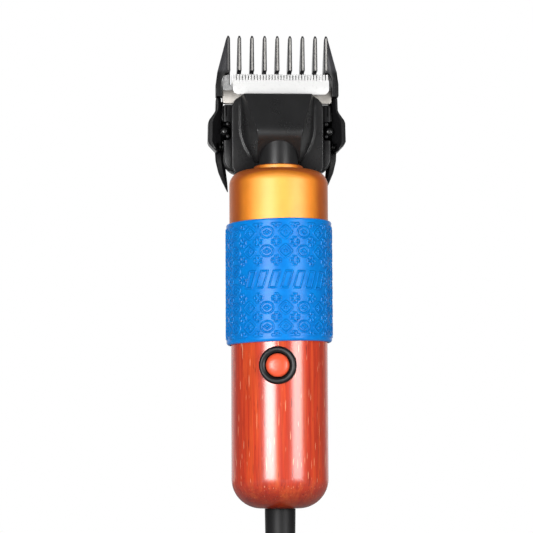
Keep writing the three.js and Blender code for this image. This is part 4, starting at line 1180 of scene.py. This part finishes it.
def guide_comb():
    c = COMB
    teeth = [comb_tooth(c["offset"] + i * c["pitch"]) for i in range(-3, 4)]
    outer = [comb_tooth(side * c["outer"] + 0.1) for side in (-1, 1)]
    wings = [part for side in (-1, 1) for part in comb_wing(side)]
    bar = slab(rect(-22.5, 22.5, c["root"], c["bar_top"], 0.6, steps=3), 9.7, 12.2, bevel=0.4)
    tie = slab(rect(22, 24.6, c["z0"], c["bar_top"]), 9.72, 10.68, bevel=0.2)
    shape = joined(*teeth, *outer, *wings, bar, mirror_x(tie, -1), tie)
    piece("comb_moulding", shape, COMB_BLACK, "comb", ["guide_comb"])


# ---- springs
def coil(spring, start, end):
    """Round wire in a helix along Y, its end coils closed up."""
    wire, turns = spring["wire"], spring["turns"]
    steps, around = turns * 24, 10
    sections = []
    for i in range(steps + 1):
        share = i / steps
        eased = share - math.sin(2 * math.pi * share) * 0.10
        turn = 2 * math.pi * turns * share
        outward = Vector((math.cos(turn), 0, math.sin(turn)))
        centre = outward * spring["r"] + Vector((0, start + wire + (end - start - 2 * wire) * eased, 0))
        ring = []
        for k in range(around):
            a = 2 * math.pi * k / around
            ring.append(tuple(centre + outward * wire * math.cos(a) + Vector((0, wire * math.sin(a), 0))))
        sections.append(ring)
    return loft(sections)


def springs():
    """Return springs, each given a mesh of its own."""
    s = BUTTON_SPRING
    shape = on_handle(coil(s, s["y0"], s["y1"]))
    made = piece("switch_spring", shape, STEEL, hides=["button_spring"])
    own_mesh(made)
    s = LATCH_SPRING
    for side, name in ((-1, "left"), (1, "right")):
        upright = coil(s, s["x0"], s["x1"])
        shape = moved(moved(upright, turn=-side * math.pi / 2), y=s["y"], z=s["z"])
        made = piece(f"return_spring_{name}", shape, SPRING_BLACK, hides=[f"latch_spring_{name}"])
        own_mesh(made)


# ---- pieces that keep their CAD shape
CARRIED = [
    (BLACK, "switch_body cord_clamp bridge_rectifier motor_end_bell cooling_fan cutter_carrier"),
    (STEEL, "joint_ring joint_screw_1 joint_screw_2 switch_nut motor_can motor_shaft bearing_outer_race"),
    (STEEL, "bearing_inner_race bearing_ball_cage eccentric eccentric_roller drive_rocker rocker_pin"),
    (STEEL, "tension_spring"),
    (BRONZE, "rear_bush front_bush neck_bush"),
    (FERRITE, "magnet_left magnet_right"),
    (CARBON, "brush_left brush_right"),
    (COPPER, "armature_winding"),
    (BAR_COPPER, "commutator"),
    (LAMINATED, "armature_core"),
    (BOARD, "circuit_board"),
    (BROWN, "lead_live"),
    (WIRE_BLUE, "lead_neutral"),
]


def dress_carried_nodes():
    for material, names in CARRIED:
        for name in names.split():
            node = frame["nodes"][name]
            node.data.materials.clear()
            node.data.materials.append(material)
            for slot in node.material_slots:
                slot.material = material


# ---- light, floor and camera
def studio():
    """White surround behind the object, a dimmer one in front, and two tall soft boxes."""
    world = bpy.data.worlds.new("studio")
    bpy.context.scene.world = world
    world.use_nodes = True
    tree = world.node_tree
    direction = add(tree, "TexCoord").outputs["Generated"]
    split = add(tree, "SeparateXYZ", {"Vector": direction})
    behind = remap(tree, split.outputs["Y"], 0.60, 0.92, 0.16)
    seen = add(tree, "LightPath").outputs["Is Camera Ray"]
    strength = add(tree, "Mix", {"Factor": seen, "A": behind, "B": 1.0}, data_type="FLOAT").outputs["Result"]
    background = tree.nodes["Background"]
    background.inputs["Color"].default_value = (1, 1, 1, 1)
    tree.links.new(strength, background.inputs["Strength"])
    soft_box("key_light", azimuth=-26, power=5.6)
    soft_box("fill_light", azimuth=38, power=3.4)
    bpy.context.scene.view_settings.view_transform = "Standard"


def soft_box(name, azimuth, power):
    """A rectangular area light that faces the object; azimuth 0 is in front, positive to the right."""
    width, height, distance, middle_z = 320, 310, 760, 100
    light = bpy.data.lights.new(name, "AREA")
    light.shape = "RECTANGLE"
    light.size = width * MM
    light.size_y = height * MM
    light.energy = power
    made = placed(name, light)
    turn = math.radians(azimuth)
    made.location = Vector((distance * math.sin(turn), -distance * math.cos(turn), BUTT + middle_z)) * MM
    made.rotation_euler = (math.radians(90), 0, turn)


def floor():
    """A round pale floor under the cable's end."""
    bm = bmesh.new()
    bmesh.ops.create_circle(bm, cap_ends=True, segments=96, radius=1.3)
    data = bpy.data.meshes.new("floor")
    bm.to_mesh(data)
    bm.free()
    made = placed("floor", data)
    made.location.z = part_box("power_cable")[0][2]
    pale, tree, shader = start("pale_floor", Roughness=0.8, Emission_Color=(1, 1, 1, 1))
    vary(tree, shader, "Emission Strength", add(tree, "LightPath").outputs["Is Camera Ray"], 0, 0.45)
    speckle = noise(tree, 40, 40, 40)
    feed(tree, shader, "Base Color", ramp(tree, speckle, [(0, grey(0.80)), (1, grey(0.84))]))
    data.materials.append(pale)


def camera():
    """Long lens a little below the handle's middle, looking up by 5.6 degrees."""
    data = bpy.data.cameras.new("camera")
    data.lens = 149.5
    data.sensor_width = 36
    made = placed("camera", data)
    made.location = Vector((-56.5, -892.2, BUTT + 9.35)) * MM
    look_up, swing, roll = math.radians(5.64), math.radians(-3.3), math.radians(-0.26)
    turned = Matrix.Rotation(swing, 3, "Z") @ Matrix.Rotation(math.pi / 2 + look_up, 3, "X")
    made.rotation_euler = (turned @ Matrix.Rotation(roll, 3, "Z")).to_euler()
    bpy.context.scene.camera = made


# ---- build
handle_shell()
switch()
cable()
grip_sleeve()
barrel()
neck()
head_cover()
head_base()
screws()
lower_blade()
cutter()
latches()
guide_comb()
springs()
dress_carried_nodes()
studio()
floor()
camera()
